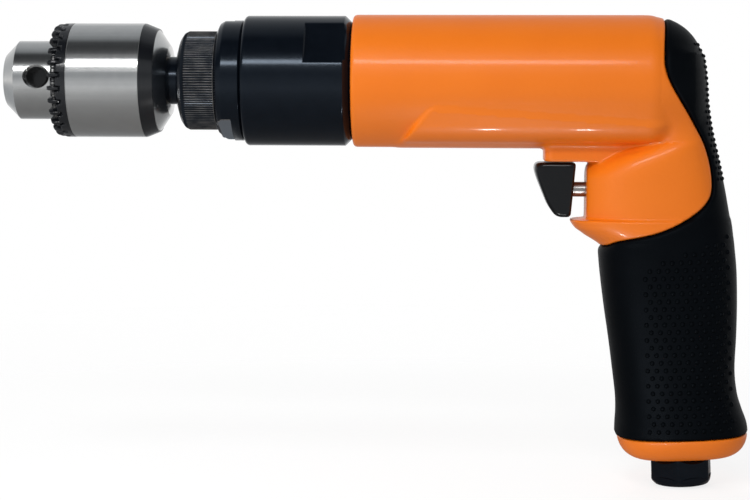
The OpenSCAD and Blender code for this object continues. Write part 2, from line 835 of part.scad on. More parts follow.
module bearing_cap() {
    ridge_x = cap_x + cap_front;
    ridge_back = lock_x - cap_margin;
    core_r = cap_r - knurl_depth;
    color([0.13, 0.13, 0.14])
        difference() {
            union() {
                turned(concat([[0, cap_x], [collar_r + cap_face, cap_x]], nose(cap_nose, cap_r, cap_x),
                    [[core_r, ridge_x], [core_r, lock_x], [0, lock_x]]));
                drawn(ridge_x, ridge_back)
                    polygon([for (i = [0 : 2 * knurl_count - 1])
                        let (r = i % 2 == 0 ? cap_r : core_r - slip, a = 180 * i / knurl_count)
                        [r * cos(a), r * sin(a)]]);
            }
            bar(cap_x - over, lock_x, collar_r + cap_clear);
            bar(cap_x + seal_lip, lock_x, collar_r + turn_gap + seal_wall + slip);
            bar(front_race_x, lock_x + over, nose_spigot_r + slip);
        }
}

module spindle_seal() {
    color("tan")
        tube(cap_x + seal_lip, front_race_x - face_gap, collar_r + turn_gap,
            collar_r + turn_gap + seal_wall);
}

// Two opposite flats across a round body
module flats(x0, x1, r, depth, a) {
    for (turn = [0, 180])
        polar(a + turn, r - depth)
            translate([x0, -r, -2 * depth])
                cube([x1 - x0, 2 * r, 2 * depth]);
}

module lock_ring() {
    back = lock_x + lock_ring_len;
    color([0.2, 0.2, 0.22])
        difference() {
            turned(concat([[lock_spigot_r + slip, lock_x]], nose(lock_nose, lock_ring_r, lock_x),
                [[lock_ring_r, back - edge], [lock_ring_r - edge, back], [lock_spigot_r + slip, back]]));
            flats(lock_x - over, lock_x + lock_flat_len, lock_ring_r, lock_flat_depth, lock_flat_angle);
        }
}

module gear_case() {
    flat_x = housing_x - case_flat_back - case_flat_len;
    shoulder_r = rear_race_r - race_shoulder;
    shoulder_x = front_race_x + spindle_race_w;
    color([0.16, 0.16, 0.17])
        difference() {
            turned(concat([[front_race_r, front_race_x], [nose_spigot_r, front_race_x],
                [nose_spigot_r, lock_x], [lock_spigot_r, lock_x], [lock_spigot_r, case_x]],
                nose(case_nose, case_r, case_x),
                [[case_r, housing_x - case_bevel], [case_r - case_bevel, housing_x], [spigot_r, housing_x],
                [spigot_r, plate_x], [case_bore_r, plate_x], [case_bore_r, ring_gear_x],
                [flange_r + flange_room, ring_gear_x], [flange_r + flange_room, flange_x - flange_step],
                [rear_race_r, flange_x - flange_step], [rear_race_r, rear_race_x],
                [shoulder_r, rear_race_x], [shoulder_r, shoulder_x], [front_race_r, shoulder_x]]));
            flats(flat_x, flat_x + case_flat_len, case_r, case_flat_depth, case_flat_angle);
        }
}

// Motor

module front_end_plate() {
    boss_r = rotor_front_race_r + plate_boss_wall;
    boss_x = rotor_front_race_x - boss_lip;
    lip_x = plate_x - plate_lip;
    color("lightslategray")
        turned([[rotor_front_race_r, boss_x], [boss_r, boss_x], [boss_r, plate_x],
            [cylinder_r, plate_x], [cylinder_r, cylinder_x], [rotor_bore_r + shaft_room, cylinder_x],
            [rotor_bore_r + shaft_room, lip_x], [rotor_front_race_r, lip_x]]);
}

module rear_end_plate() {
    color("lightslategray")
        difference() {
            turned([[rotor_bore_r + shaft_room, rear_plate_x], [cylinder_r, rear_plate_x],
                [cylinder_r, chamber_x], [rear_boss_r, chamber_x], [rear_boss_r, rear_boss_back],
                [rotor_rear_race_r, rear_boss_back], [rotor_rear_race_r, rotor_rear_race_x],
                [rotor_bore_r + shaft_room, rotor_rear_race_x]]);
            exhaust_ports(rear_plate_x - over, chamber_x + over);
            dowel_bar(slip);
        }
}

// Exhaust ways on both sides, low in the motor
module exhaust_ports(x0, x1) {
    for (side = [-1, 1])
        translate([0, side * exhaust_side, -exhaust_low])
            bar(x0, x1, exhaust_r);
}

module dowel_bar(grow) {
    translate([0, 0, -cylinder_r + dowel_r + dowel_wall])
        bar(rear_plate_x - dowel_reach - grow, chamber_x - dowel_cover, dowel_r + grow);
}

module cylinder_dowel() {
    color("silver")
        dowel_bar(0);
}

module motor_cylinder() {
    slot_len = cylinder_len * slot_part;
    slot_x = cylinder_x + slot_len;
    color("gray")
        difference() {
            bar(cylinder_x, rear_plate_x, cylinder_r);
            translate([0, 0, chamber_offset])
                bar(cylinder_x - over, rear_plate_x + over, chamber_r);
            exhaust_ports(slot_x, rear_plate_x + over);
            for (side = [-1, 1])
                translate([slot_x, side * exhaust_side - exhaust_r / 2, -exhaust_low])
                    cube([slot_len, exhaust_r, exhaust_side]);
            dowel_bar(slip);
        }
}

// Slots or vanes round the rotor
module vane_set(x0, x1, t, depth, reach) {
    for (i = [0 : vane_count - 1])
        polar(360 * i / vane_count, rotor_r - depth)
            translate([x0, -t / 2, -depth - reach])
                cube([x1 - x0, t, depth + reach]);
}

module rotor() {
    front = cylinder_x + turn_gap;
    back = rear_plate_x - turn_gap;
    color("dimgray")
        difference() {
            union() {
                bar(front, back, rotor_r);
                bar(first_planet_x, front, rotor_bore_r);
                bar(back, rotor_rear_race_x + rotor_race_w, rotor_bore_r);
            }
            vane_set(front - over, back + over, vane_t + 2 * slip, vane_h + slip, over);
        }
}

module rotor_vanes() {
    color("saddlebrown")
        intersection() {
            vane_set(cylinder_x + turn_gap, rear_plate_x - turn_gap, vane_t, vane_h, over);
            bar(cylinder_x, rear_plate_x, rotor_r);
        }
}

// Housing and grip

module barrel_form(inset) {
    steps = dome_steps;
    r = barrel_r - inset;
    back = dome_len - inset;
    dome = [for (i = [0 : steps])
        let (a = 90 * i / steps)
        [r * pow(cos(a), 2 / section_power), barrel_end + back * pow(sin(a), 2 / section_power)]];
    turned(concat([[0, housing_x], [r - mouth_chamfer, housing_x], [r, housing_x + mouth_chamfer]], dome));
}

// Loft through the grip sections, drawn in by an inset
module grip_form(inset) {
    rows = len(grip_sections);
    n = section_points;
    pts = [for (s = grip_sections)
        each [for (p = oval(s[1] - inset, s[2] - inset, s[3] - inset, n)) [p[0], p[1], -s[0]]]];
    sides = [for (j = [0 : rows - 2], i = [0 : n - 1])
        let (a = j * n + i, b = j * n + (i + 1) % n)
        each [[a, a + n, b], [b, a + n, b + n]]];
    top = [for (i = [n - 1 : -1 : 0]) i];
    bottom = [for (i = [0 : n - 1]) (rows - 1) * n + i];
    grip_frame()
        polyhedron(points = pts, faces = concat(sides, [top, bottom]));
}

module body_form(inset) {
    barrel_form(inset);
    grip_form(inset);
}

// Everything behind and below the edge of the rubber
module rubber_zone() {
    half = 2 * base_half_w;
    low = -base_bottom;
    back = grip_x + 2 * base_half_len;
    edge_line = smooth([for (p = rubber_edge) [grip_x + p[0], p[1]]], rubber_edge_steps);
    translate([0, half, 0])
        rotate([90, 0, 0])
            linear_extrude(2 * half)
                polygon(concat(edge_line, [[edge_line[len(edge_line) - 1][0], low], [back, low],
                    [back, rubber_edge[0][1]]]));
}

// Flat sides that run forward from the grip under the barrel, and end in a slope
module belly_form() {
    half = [[belly_top, belly_half_w], [belly_drop - belly_corner, belly_low_half_w],
        [belly_drop, belly_low_half_w - belly_corner]];
    other = [for (i = [len(half) - 1 : -1 : 0]) [half[i][0], -half[i][1]]];
    front = housing_x + belly_start;
    reach = 3 * barrel_r;
    difference() {
        drawn(front, grip_x - trigger_face / 2)
            polygon(concat(half, [[barrel_r - belly_sink, 0]], other));
        translate([front, -reach / 2, -barrel_r])
            rotate([0, belly_slope, 0])
                translate([-reach, 0, -reach])
                    cube([reach, reach, 2 * reach]);
    }
}

module trigger_notch() {
    reach = 2 * base_half_len;
    translate([face_x - reach, -reach / 2, -lip_drop])
        cube([reach, reach, lip_drop - ledge_drop]);
}

module housing_bores() {
    run_x = chamber_x + exhaust_run;
    bend_x = grip_x - exhaust_front + exhaust_bend * tan(grip_rake);
    bar(housing_x - over, plate_x, spigot_r + slip);
    bar(plate_x - over, chamber_x, motor_bore_r);
    bar(chamber_x - over, chamber_x + air_chamber_len, air_chamber_r);
    exhaust_ports(chamber_x - over, run_x + exhaust_r);
    for (side = [-1, 1]) {
        link([run_x, side * exhaust_side, -exhaust_low],
            [bend_x, side * exhaust_side, -exhaust_bend], exhaust_r - exhaust_neck);
        grip_frame()
            translate([-exhaust_front, side * exhaust_side, 0])
                grip_bar(exhaust_bend - exhaust_r, grip_len + over, exhaust_r);
    }
    translate([0, 0, -valve_drop]) {
        bar(face_x - over, valve_x, stem_r + turn_gap);
        bar(valve_x - packing_t, valve_x, packing_r + slip);
        bar(valve_x, plug_x + plug_len + plug_room, valve_bore_r);
    }
    translate([feed_up_x, 0, -valve_drop])
        cylinder(h = valve_drop - air_chamber_r / 2, r = stem_r + feed_up_wall);
    grip_frame() {
        grip_bar(valve_drop, grip_len + over, feed_r);
        grip_bar(shank_top, grip_len + over, inlet_shank_r + slip);
    }
}

module pistol_housing() {
    color("orangered")
        difference() {
            union() {
                difference() {
                    body_form(0);
                    rubber_zone();
                }
                belly_form();
                body_form(rubber_t);
            }
            trigger_notch();
            housing_bores();
        }
}

module grip_sleeve() {
    color([0.12, 0.12, 0.12])
        difference() {
            intersection() {
                body_form(0);
                rubber_zone();
            }
            body_form(rubber_t - soft_gap);
        }
}

// Trigger and valve

module trigger() {
    front = trigger_back_x - trigger_top_len;
    half = trigger_w / 2;
    back = trigger_back_x + trigger_heel;
    color([0.1, 0.1, 0.1])
        difference() {
            intersection() {
                translate([trigger_back_x, half, 0])
                    rotate([90, 0, 0])
                        linear_extrude(trigger_w)
                            polygon([for (p = trigger_profile) [-p[0], -p[1]]]);
                translate([0, 0, -trigger_low])
                    linear_extrude(trigger_low - trigger_top)
                        union() {
                            translate([front + trigger_corner, -half])
                                square([back - front - trigger_corner, trigger_w]);
                            translate([front, trigger_corner - half])
                                square([back - front, trigger_w - 2 * trigger_corner]);
                            for (side = [-1, 1])
                                translate([front + trigger_corner, side * (half - trigger_corner)])
                                    circle(r = trigger_corner);
                        }
            }
            translate([front + stem_socket, 0, -valve_drop])
                bar(0, trigger_top_len, stem_r + slip);
            trigger_pin_bar(slip);
        }
}

module trigger_pin_bar(grow) {
    half = trigger_w / 2 - trigger_pin_sink;
    translate([trigger_back_x - trigger_pin_x, half, -valve_drop])
        rotate([90, 0, 0])
            cylinder(h = 2 * half, r = trigger_pin_r + grow);
}

module trigger_pin() {
    color("silver")
        trigger_pin_bar(0);
}

module throttle_stem() {
    front = trigger_back_x - trigger_top_len + stem_socket + face_gap;
    color("dimgray")
        translate([0, 0, -valve_drop])
            difference() {
                union() {
                    bar(front, poppet_x, stem_r);
                    bar(poppet_x, spring_x, poppet_r);
                    bar(spring_x, spring_x + stem_tail, stem_r - stem_tail_step);
                }
                translate([0, 0, valve_drop])
                    trigger_pin_bar(press);
            }
}

module valve_seal() {
    color("black")
        translate([0, 0, -valve_drop])
            tube(seat_x + slip, poppet_x, stem_r + press, poppet_r);
}

module stem_seal() {
    color("black")
        translate([0, 0, -valve_drop])
            tube(valve_x - packing_t, valve_x, stem_r + slip, packing_r);
}

module valve_bushing() {
    color("goldenrod")
        translate([0, 0, -valve_drop])
            difference() {
                bar(valve_x, seat_x, valve_bore_r - slip);
                bar(valve_x - over, seat_x, stem_r + slip);
                bar(valve_x + bushing_guide, seat_x + over, stem_r + bushing_room);
                translate([feed_up_x, 0, 0])
                    cylinder(h = 2 * valve_bore_r, r = stem_r);
            }
}

module valve_spring() {
    coil_r = poppet_r - spring_room;
    count = spring_turns * spring_steps;
    n = wire_sides;
    span = spring_len - 2 * spring_wire_r - 2 * spring_end_gap;
    pts = [for (k = [0 : count], i = [0 : n - 1])
        let (a = 360 * spring_turns * k / count, b = 360 * i / n, r = coil_r + spring_wire_r * cos(b))
        [r * cos(a), r * sin(a), span * k / count + spring_wire_r * sin(b)]];
    faces = [for (k = [0 : count - 1], i = [0 : n - 1])
        let (a = k * n + i, b = k * n + (i + 1) % n)
        each [[a, b, a + n], [b, b + n, a + n]]];
    first = [for (i = [n - 1 : -1 : 0]) i];
    last = [for (i = [0 : n - 1]) count * n + i];
    color("silver")
        translate([spring_x + spring_wire_r + spring_end_gap, 0, -valve_drop])
            rotate([0, 90, 0])
                polyhedron(points = pts, faces = concat(faces, [first, last]));
}

module valve_plug() {
    back = plug_x + plug_len;
    color("goldenrod")
        translate([0, 0, -valve_drop])
            difference() {
                bar(plug_x, back, valve_bore_r - slip);
                translate([back - plug_slot_h, -valve_bore_r, -plug_slot_w / 2])
                    cube([plug_slot_h + over, 2 * valve_bore_r, plug_slot_w]);
            }
}

// Base and inlet

module base_outline(inset) {
    polygon(oval(base_half_len - inset, base_half_len - inset, base_half_w - inset, section_points));
}

module exhaust_cap() {
    color("orangered")
        grip_frame()
            difference() {
                union() {
                    translate([0, 0, -base_bottom + base_bevel])
                        linear_extrude(base_h - base_bevel)
                            base_outline(0);
                    hull() {
                        translate([0, 0, -base_bottom + base_bevel])
                            linear_extrude(slice)
                                base_outline(0);
                        translate([0, 0, -base_bottom])
                            linear_extrude(slice)
                                base_outline(base_bevel);
                    }
                }
                difference() {
                    translate([0, 0, -base_top - base_cavity_h])
                        linear_extrude(base_h)
                            base_outline(base_wall);
                    grip_bar(grip_len + inlet_seal_t, base_bottom, base_boss_r);
                }
                grip_bar(base_top - over, base_bottom + over, inlet_shank_r + slip);
                for (turn = [0, 180], a = vent_angles)
                    rotate([0, 0, turn + a])
                        translate([base_boss_r + vent_out, 0, 0])
                            grip_bar(base_top, base_bottom + over, vent_r);
            }
}

module muffler_ring() {
    color("lightgray")
        grip_frame()
            difference() {
                translate([0, 0, -base_top - base_cavity_h + soft_gap])
                    linear_extrude(base_cavity_h - 2 * soft_gap)
                        base_outline(base_wall + soft_gap);
                grip_bar(base_top - over, base_bottom, base_boss_r + soft_gap);
            }
}

module inlet_bushing() {
    hex_r = inlet_flats / 2 / cos(30);
    low_r = hex_r - inlet_chamfer;
    color([0.15, 0.15, 0.16])
        grip_frame()
            difference() {
                union() {
                    grip_bar(shank_top, base_bottom, inlet_shank_r);
                    intersection() {
                        rotate([0, 0, inlet_turn])
                            translate([0, 0, -inlet_end])
                                cylinder(h = inlet_hex_h, r = hex_r, $fn = 6);
                        translate([0, 0, -inlet_end])
                            cylinder(h = inlet_hex_h, r1 = low_r, r2 = low_r + inlet_hex_h);
                    }
                }
                grip_bar(shank_top - over, inlet_end, feed_r - inlet_neck);
                grip_bar(inlet_end - inlet_thread_len, inlet_end + over, inlet_thread_r);
                grip_bar(shank_top - over, shank_top + screen_seat, feed_r + inlet_neck);
            }
}

module inlet_screen() {
    top = shank_top + screen_seat - screen_t - slip;
    color("silver")
        grip_frame()
            difference() {
                grip_bar(top, top + screen_t, feed_r + inlet_neck - slip);
                for (ring = [0 : screen_rings], i = [0 : max(0, ring * 6 - 1)])
                    rotate([0, 0, ring == 0 ? 0 : 60 * i / ring])
                        translate([ring * screen_pitch, 0, 0])
                            grip_bar(top - over, top + screen_t + over, screen_hole_r);
            }
}

module inlet_seal() {
    color("black")
        grip_frame()
            difference() {
                grip_bar(grip_len, grip_len + inlet_seal_t, base_boss_r);
                grip_bar(grip_len - over, base_bottom, inlet_shank_r + soft_gap);
            }
}

// Sub-parts that one shape repeats

module rotor_front_outer_race() {
    outer_race(rotor_front_race_x, rotor_race_w, rotor_bore_r, rotor_front_race_r - slip);
}

module rotor_front_inner_race() {
    inner_race(rotor_front_race_x, rotor_race_w, rotor_bore_r, rotor_front_race_r - slip);
}

module rotor_front_balls() {
    ball_set(rotor_front_race_x, rotor_race_w, rotor_bore_r, rotor_front_race_r - slip);
}

module rotor_rear_outer_race() {
    outer_race(rotor_rear_race_x, rotor_race_w, rotor_bore_r, rotor_rear_race_r - slip);
}

module rotor_rear_inner_race() {
    inner_race(rotor_rear_race_x, rotor_race_w, rotor_bore_r, rotor_rear_race_r - slip);
}

module rotor_rear_balls() {
    ball_set(rotor_rear_race_x, rotor_race_w, rotor_bore_r, rotor_rear_race_r - slip);
}

module spindle_front_outer_race() {
    outer_race(front_race_x, spindle_race_w, front_bore_r, front_race_r - slip);
}

module spindle_front_inner_race() {
    inner_race(front_race_x, spindle_race_w, front_bore_r, front_race_r - slip);
}

module spindle_front_balls() {
    ball_set(front_race_x, spindle_race_w, front_bore_r, front_race_r - slip);
}

module spindle_rear_outer_race() {
    outer_race(rear_race_x, spindle_race_w, rear_bore_r, rear_race_r - slip);
}

module spindle_rear_inner_race() {
    inner_race(rear_race_x, spindle_race_w, rear_bore_r, rear_race_r - slip);
}

module spindle_rear_balls() {
    ball_set(rear_race_x, spindle_race_w, rear_bore_r, rear_race_r - slip);
}

module first_planet_pins() {
    color("silver")
        planet_pins(carrier_x, 0);
}

module second_planet_pins() {
    color("silver")
        planet_pins(flange_x, 0);
}

pistol_housing();
grip_sleeve();
exhaust_cap();
muffler_ring();
inlet_bushing();
inlet_screen();
inlet_seal();
valve_bushing();
valve_spring();
valve_plug();
stem_seal();
motor_cylinder();
cylinder_dowel();
front_end_plate();
rear_end_plate();
rotor_front_outer_race();
rotor_rear_outer_race();
ring_gear();
gear_spacer();
gear_case();
lock_ring();
bearing_cap();
spindle_front_outer_race();
spindle_rear_outer_race();
spindle_seal();
trigger();
throttle_stem();
valve_seal();
trigger_pin();
rotor();
rotor_vanes();
drive_pinion();
rotor_front_inner_race();
rotor_rear_inner_race();
rotor_front_balls();
rotor_rear_balls();
spindle_front_balls();
spindle_rear_balls();
first_carrier();
first_planet_pins();
planet(first_planet_x, thirds[0]);  // first_planet_1
planet(first_planet_x, thirds[1]);  // first_planet_2
planet(first_planet_x, thirds[2]);  // first_planet_3
planet(second_planet_x, thirds[0]);  // second_planet_1
planet(second_planet_x, thirds[1]);  // second_planet_2
planet(second_planet_x, thirds[2]);  // second_planet_3
spindle();
second_planet_pins();
spindle_front_inner_race();
spindle_rear_inner_race();
spindle_collar();
chuck_body();
chuck_sleeve();
chuck_nut();
jaw(key_hole_angle + 60 + thirds[0]);  // jaw_1
jaw(key_hole_angle + 60 + thirds[1]);  // jaw_2
jaw(key_hole_angle + 60 + thirds[2]);  // jaw_3
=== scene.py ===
"""Air drill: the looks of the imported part, with its light and its camera. Sizes are in millimetres."""

import functools
import math

import bpy
import numpy as np
import openvdb
from mathutils import Matrix, Vector


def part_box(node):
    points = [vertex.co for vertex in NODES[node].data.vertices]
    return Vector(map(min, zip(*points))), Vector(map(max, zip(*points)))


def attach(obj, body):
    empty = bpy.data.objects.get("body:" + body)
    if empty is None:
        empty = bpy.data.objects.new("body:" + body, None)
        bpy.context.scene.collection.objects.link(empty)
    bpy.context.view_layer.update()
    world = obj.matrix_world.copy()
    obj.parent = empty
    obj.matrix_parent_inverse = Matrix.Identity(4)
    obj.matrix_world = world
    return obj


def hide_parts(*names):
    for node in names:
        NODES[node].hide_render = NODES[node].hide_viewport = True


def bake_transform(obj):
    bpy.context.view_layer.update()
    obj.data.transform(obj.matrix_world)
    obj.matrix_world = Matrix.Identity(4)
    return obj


MM = 0.001

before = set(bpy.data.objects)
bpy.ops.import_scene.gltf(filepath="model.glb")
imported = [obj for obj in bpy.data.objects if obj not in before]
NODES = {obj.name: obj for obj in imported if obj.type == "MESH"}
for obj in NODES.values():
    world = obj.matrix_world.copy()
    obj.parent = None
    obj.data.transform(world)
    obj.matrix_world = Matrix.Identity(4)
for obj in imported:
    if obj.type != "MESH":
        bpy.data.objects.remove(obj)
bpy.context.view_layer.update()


def corners(node):
    """Lowest and highest corner of a CAD node, in millimetres."""
    low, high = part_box(node)
    return np.array(low) / MM, np.array(high) / MM


# Set back of some front edges from the solids, to the photograph's places
CAP_SET_BACK = 0.9
RING_SET_BACK = 1.6
SLEEVE_SET_BACK = 1.1

# Stations along the spindle axis, from the frame
CAP_X = corners("bearing_cap")[0][0] + CAP_SET_BACK
LOCK_X = corners("bearing_cap")[1][0] + RING_SET_BACK
LOCK_BACK = corners("lock_ring")[1][0] + RING_SET_BACK
CASE_X = LOCK_BACK + 0.2
HOUSING_X = corners("pistol_housing")[0][0]
SPIGOT_BACK = corners("gear_case")[1][0]
SLEEVE_X = corners("chuck_sleeve")[0][0] + SLEEVE_SET_BACK
SLEEVE_BACK = corners("chuck_sleeve")[1][0]
RING_END = 20.4 + SLEEVE_SET_BACK

# Radii, from the frame
SLEEVE_R = corners("chuck_sleeve")[1][1]
CAP_R = corners("bearing_cap")[1][1]
LOCK_R = corners("lock_ring")[1][1]
CASE_R = corners("gear_case")[1][1]
BARREL_R = corners("pistol_housing")[1][1]

# The barrel, its round back and the grip axis
BARREL_END = HOUSING_X + 87
DOME_LEN = 22.6
GRIP_X = BARREL_END + 12.4
RAKE = math.radians(2.5)
GRIP_LEN = 110.8
SECTION_POWER = 2.5

# Blend of barrel and grip: places behind the grip axis, and the width there
BLEND_X = GRIP_X + np.array((-20, -4, 6, 13))
BLEND_W = (1.6, 6, 6, 0.8)

# Rubber: thickness, height over the casting, gaps to the casting, rolled edge
RUBBER_T = 2.4
PROUD = 0.35
CASTING_GAP = 0.1
RUBBER_GAP = 0.15
RUBBER_ROLL = 1.8
SMALL_EDGE = 0.8

# Grip sections: drop below the spindle axis, reach to the front, to the back, half width
GRIP_SECTIONS = np.array([
    (-6, 40, 9, 18), (2, 40, 10.5, 18), (14, 40, 11.8, 17.5), (25, 39, 13.9, 16.8), (34, 36, 15.5, 16.4),
    (43, 32.4, 16.8, 16.1), (46, 29.4, 17.2, 16.1), (48.5, 25.6, 17.4, 16), (50.3, 23.6, 17.6, 16),
    (53, 23.6, 17.8, 16), (60, 23.2, 18.2, 15.8), (70, 22.3, 18.1, 15.6), (80, 21.2, 17.6, 15.5),
    (90.8, 20.2, 16.8, 15.5), (98.1, 19.6, 17.3, 15.7), (102.9, 19.6, 18.5, 16.1), (107.5, 20, 20, 16.8),
    (110.8, 20.2, 20.4, 17.2)])

# Edge of the rubber on the side of the tool: distance behind the grip axis at the spindle, height
RUBBER_EDGE = np.array([
    (-1.4, 26), (-3.6, 10), (-2.6, 1), (5.1, -11.5), (9.8, -20), (12, -29), (11.2, -36),
    (5.2, -41.8), (-4.4, -46.4), (-16.4, -49.3), (-21.8, -51.4), (-39.4, -54)])

# Belly under the barrel
BELLY_FRONT = HOUSING_X + 14.1
BELLY_SLOPE = math.radians(39)
BELLY_LEAN = math.radians(20)
BELLY_TOP = BARREL_R * math.sin(BELLY_LEAN)
BELLY_PROUD = 0.5
BELLY_FALL = 0.07
BELLY_DROP = 18.4
BELLY_LOW_W = 15.8
BELLY_KEEL = 0.4
BELLY_RISE = 2.2
CREASE_START = BELLY_FRONT + 10
KEEL_ROUND = 4.5
FRONT_ROUND = 1.6
BELLY_END = GRIP_X - 2
END_SLOPE = 0.8
END_ROUND = 5
BLEND_FALL = 0.25
BLEND_LIMITS = (0.02, 1.6)

# Round nose of the handle behind the trigger, and the block over the trigger
NOSE_BACK = 4.4
NOSE_LEN = 24
NOSE_HALF_W = 16.6
NOSE_LEAN = 0.125
NOSE_BEND = 30.5
NOSE_RISE = 12
NOSE_ROUND = 4
LIP_ROUND = 1
LUG_FRONT = HOUSING_X + 60
LUG_BACK = GRIP_X - 2.2
LUG_TOP = 12
LUG_HALF_W = 8.5
LUG_ROUND = 3
LUG_BLEND = 1.5

# Notch of the trigger, and edges of the casting
FACE_X = GRIP_X - 26.2
LEDGE_DROP = 25.1
LIP_DROP = 42.9
NOTCH_ROUND = 0.6
CAST_EDGE = 0.7
MOUTH_EDGE = 1.4
CORE_START = HOUSING_X + 2

# Bores along the spindle: radius, start, end
MOTOR_BORES = [
    (18.45, HOUSING_X - 5, HOUSING_X + 7), (17.5, HOUSING_X, HOUSING_X + 65),
    (10.2, HOUSING_X, HOUSING_X + 92)]

# Bores along the valve axis, and those along the grip axis: radius, start, end
VALVE_DROP = 33.8
VALVE_BORES = [
    (2.5, FACE_X - 5, FACE_X + 12), (5.5, FACE_X + 10.5, FACE_X + 44), (4.4, FACE_X + 8.3, FACE_X + 10.6)]
FEED_BORES = [(5, VALVE_DROP, GRIP_LEN + 5), (8.05, 99, GRIP_LEN + 5)]


# Curves and outlines


def smooth_curve(points, steps):
    """Points of a curve that runs smoothly through a row of points."""
    p = np.vstack([2 * points[0] - points[1], points, 2 * points[-1] - points[-2]])
    t = np.arange(steps)[:, None] / steps
    parts = []
    for a, b, c, d in zip(p, p[1:], p[2:], p[3:]):
        parts.append(0.5 * (2 * b + (c - a) * t + (2 * a - 5 * b + 4 * c - d) * t ** 2
                            + (3 * b - a - 3 * c + d) * t ** 3))
    return np.vstack(parts + [points[-1:]])


def rounded(outline, steps=5):
    """Closed outline with its corners (x, r, rounding) turned into arcs."""
    pts = np.array([p[:2] for p in outline], float)
    result = []
    for i, corner in enumerate(outline):
        here, before, after = pts[i], pts[i - 1], pts[(i + 1) % len(pts)]
        a, b = before - here, after - here
        la, lb = np.linalg.norm(a), np.linalg.norm(b)
        a, b = a / la, b / lb
        half = math.acos(np.clip(a @ b, -1, 1)) / 2
        reach = min(corner[2] / math.tan(half), 0.48 * la, 0.48 * lb)
        radius = reach * math.tan(half)
        middle = here + (a + b) / np.linalg.norm(a + b) * radius / math.sin(half)
        first, last = here + a * reach - middle, here + b * reach - middle
        for t in np.linspace(0, 1, steps):
            way = first * (1 - t) + last * t
            result.append(middle + way / np.linalg.norm(way) * radius)
    return np.array(result)


# Meshes


def add_mesh(name, points, faces, normals):
    """Object with a smooth mesh, from points in millimetres and a normal for each."""
    mesh = bpy.data.meshes.new(name)
    mesh.from_pydata((points * MM).tolist(), [], [list(f) for f in faces])
    mesh.polygons.foreach_set("use_smooth", [True] * len(mesh.polygons))
    mesh.normals_split_custom_set_from_vertices(normals.tolist())
    mesh.update()
    obj = bpy.data.objects.new(name, mesh)
    bpy.context.scene.collection.objects.link(obj)
    return obj


def spindle_place(along, across, up):
    """Turned points with their axis along the spindle."""
    return np.stack([along, across, up], -1)


def grip_place(drop, across, ahead):
    """Turned points with their axis down the grip."""
    u = -ahead
    return np.stack([GRIP_X + u * math.cos(RAKE) + drop * math.sin(RAKE), across,
                     u * math.sin(RAKE) - drop * math.cos(RAKE)], -1)


LIMIT_ROUND = 0.1
FAR_AWAY = 1000.0


def turned(name, outline, angles, shift=None, place=spindle_place, limit=None):
    """Turned piece from a closed outline (x, r). Shift moves its surface outwards, limit cuts its radius."""
    along = np.roll(outline, -1, 0) - np.roll(outline, 1, 0)
    normal = np.stack([-along[:, 1], along[:, 0]], 1)
    normal /= np.linalg.norm(normal, axis=1)[:, None]
    x, r = outline[:, :1], outline[:, 1:]
    after = np.roll(outline, -1, 0)
    if np.sum(outline[:, 0] * after[:, 1] - after[:, 0] * outline[:, 1]) > 0:
        normal = -normal
    a = np.radians(angles)[None, :]
    move = shift(x, r, angles[None, :]) if shift else np.zeros((len(outline), len(angles)))
    far = r + normal[:, 1:] * move
    if limit:
        far = soft_min(far, limit(x, angles[None, :]), LIMIT_ROUND)
    points = place(x + normal[:, :1] * move, far * np.sin(a), -far * np.cos(a))
    down = np.roll(points, -1, 0) - np.roll(points, 1, 0)
    around = np.roll(points, -1, 1) - np.roll(points, 1, 1)
    normals = np.cross(around, down)
    normals /= np.linalg.norm(normals, axis=2)[:, :, None] + 1e-12
    rows, cols = points.shape[:2]
    i, j = np.meshgrid(np.arange(rows), np.arange(cols), indexing="ij")
    ni, nj = (i + 1) % rows, (j + 1) % cols
    faces = np.stack([i * cols + j, ni * cols + j, ni * cols + nj, i * cols + nj], -1).reshape(-1, 4)
    zero = 0 * x + 0 * a
    outward = place(normal[:, :1] + zero, normal[:, 1:] * np.sin(a), -normal[:, 1:] * np.cos(a))
    if np.sum(normals * (outward - place(zero, zero, zero))) < 0:
        normals = -normals
    else:
        faces = faces[:, ::-1]
    return add_mesh(name, points.reshape(-1, 3), faces, normals.reshape(-1, 3))


def soft_min(a, b, k):
    """Smaller of two distances, with a blend about k wide."""
    h = np.clip(0.5 + 0.5 * (b - a) / k, 0, 1)
    return b + (a - b) * h - k * h * (1 - h)


def soft_max(a, b, k):
    """Larger of two distances, with a blend about k wide."""
    return -soft_min(-a, -b, k)


def slope_of(field, points, h=0.03):
    """Gradient of a distance field at points."""
    parts = []
    for axis in range(3):
        step = np.zeros(3)
        step[axis] = h
        parts.append(field(*(points + step).T) - field(*(points - step).T))
    return np.stack(parts, 1) / (2 * h)


def shell_data(field, low, high, step):
    """Points, faces and normals of the surface where a distance field is zero."""
    axes = [np.arange(a, b + step, step) for a, b in zip(low, high)]
    x, y, z = np.meshgrid(*axes, indexing="ij", sparse=True)
    shape = [len(a) for a in axes]
    values = np.ascontiguousarray(np.broadcast_to(field(x, y, z), shape), dtype=np.float32)
    grid = openvdb.FloatGrid(3 * step)
    grid.copyFromArray(values)
    points, faces = grid.convertToQuads(isovalue=0.0)
    points = points.astype(float) * step + np.array([a[0] for a in axes])
    for _ in range(3):
        slope = slope_of(field, points)
        points -= slope * (field(*points.T) / np.maximum((slope ** 2).sum(1), 0.05))[:, None]
    normals = slope_of(field, points)
    normals /= np.linalg.norm(normals, axis=1)[:, None] + 1e-12
    return points, faces, normals


def shell(name, field, low, high, step):
    """Object from a distance field."""
    return add_mesh(name, *shell_data(field, low, high, step))


# Distance fields of the casting and the grip

DENSE_SECTIONS = smooth_curve(GRIP_SECTIONS, 12)
DENSE_EDGE = smooth_curve(RUBBER_EDGE, 6) + (GRIP_X, 0)


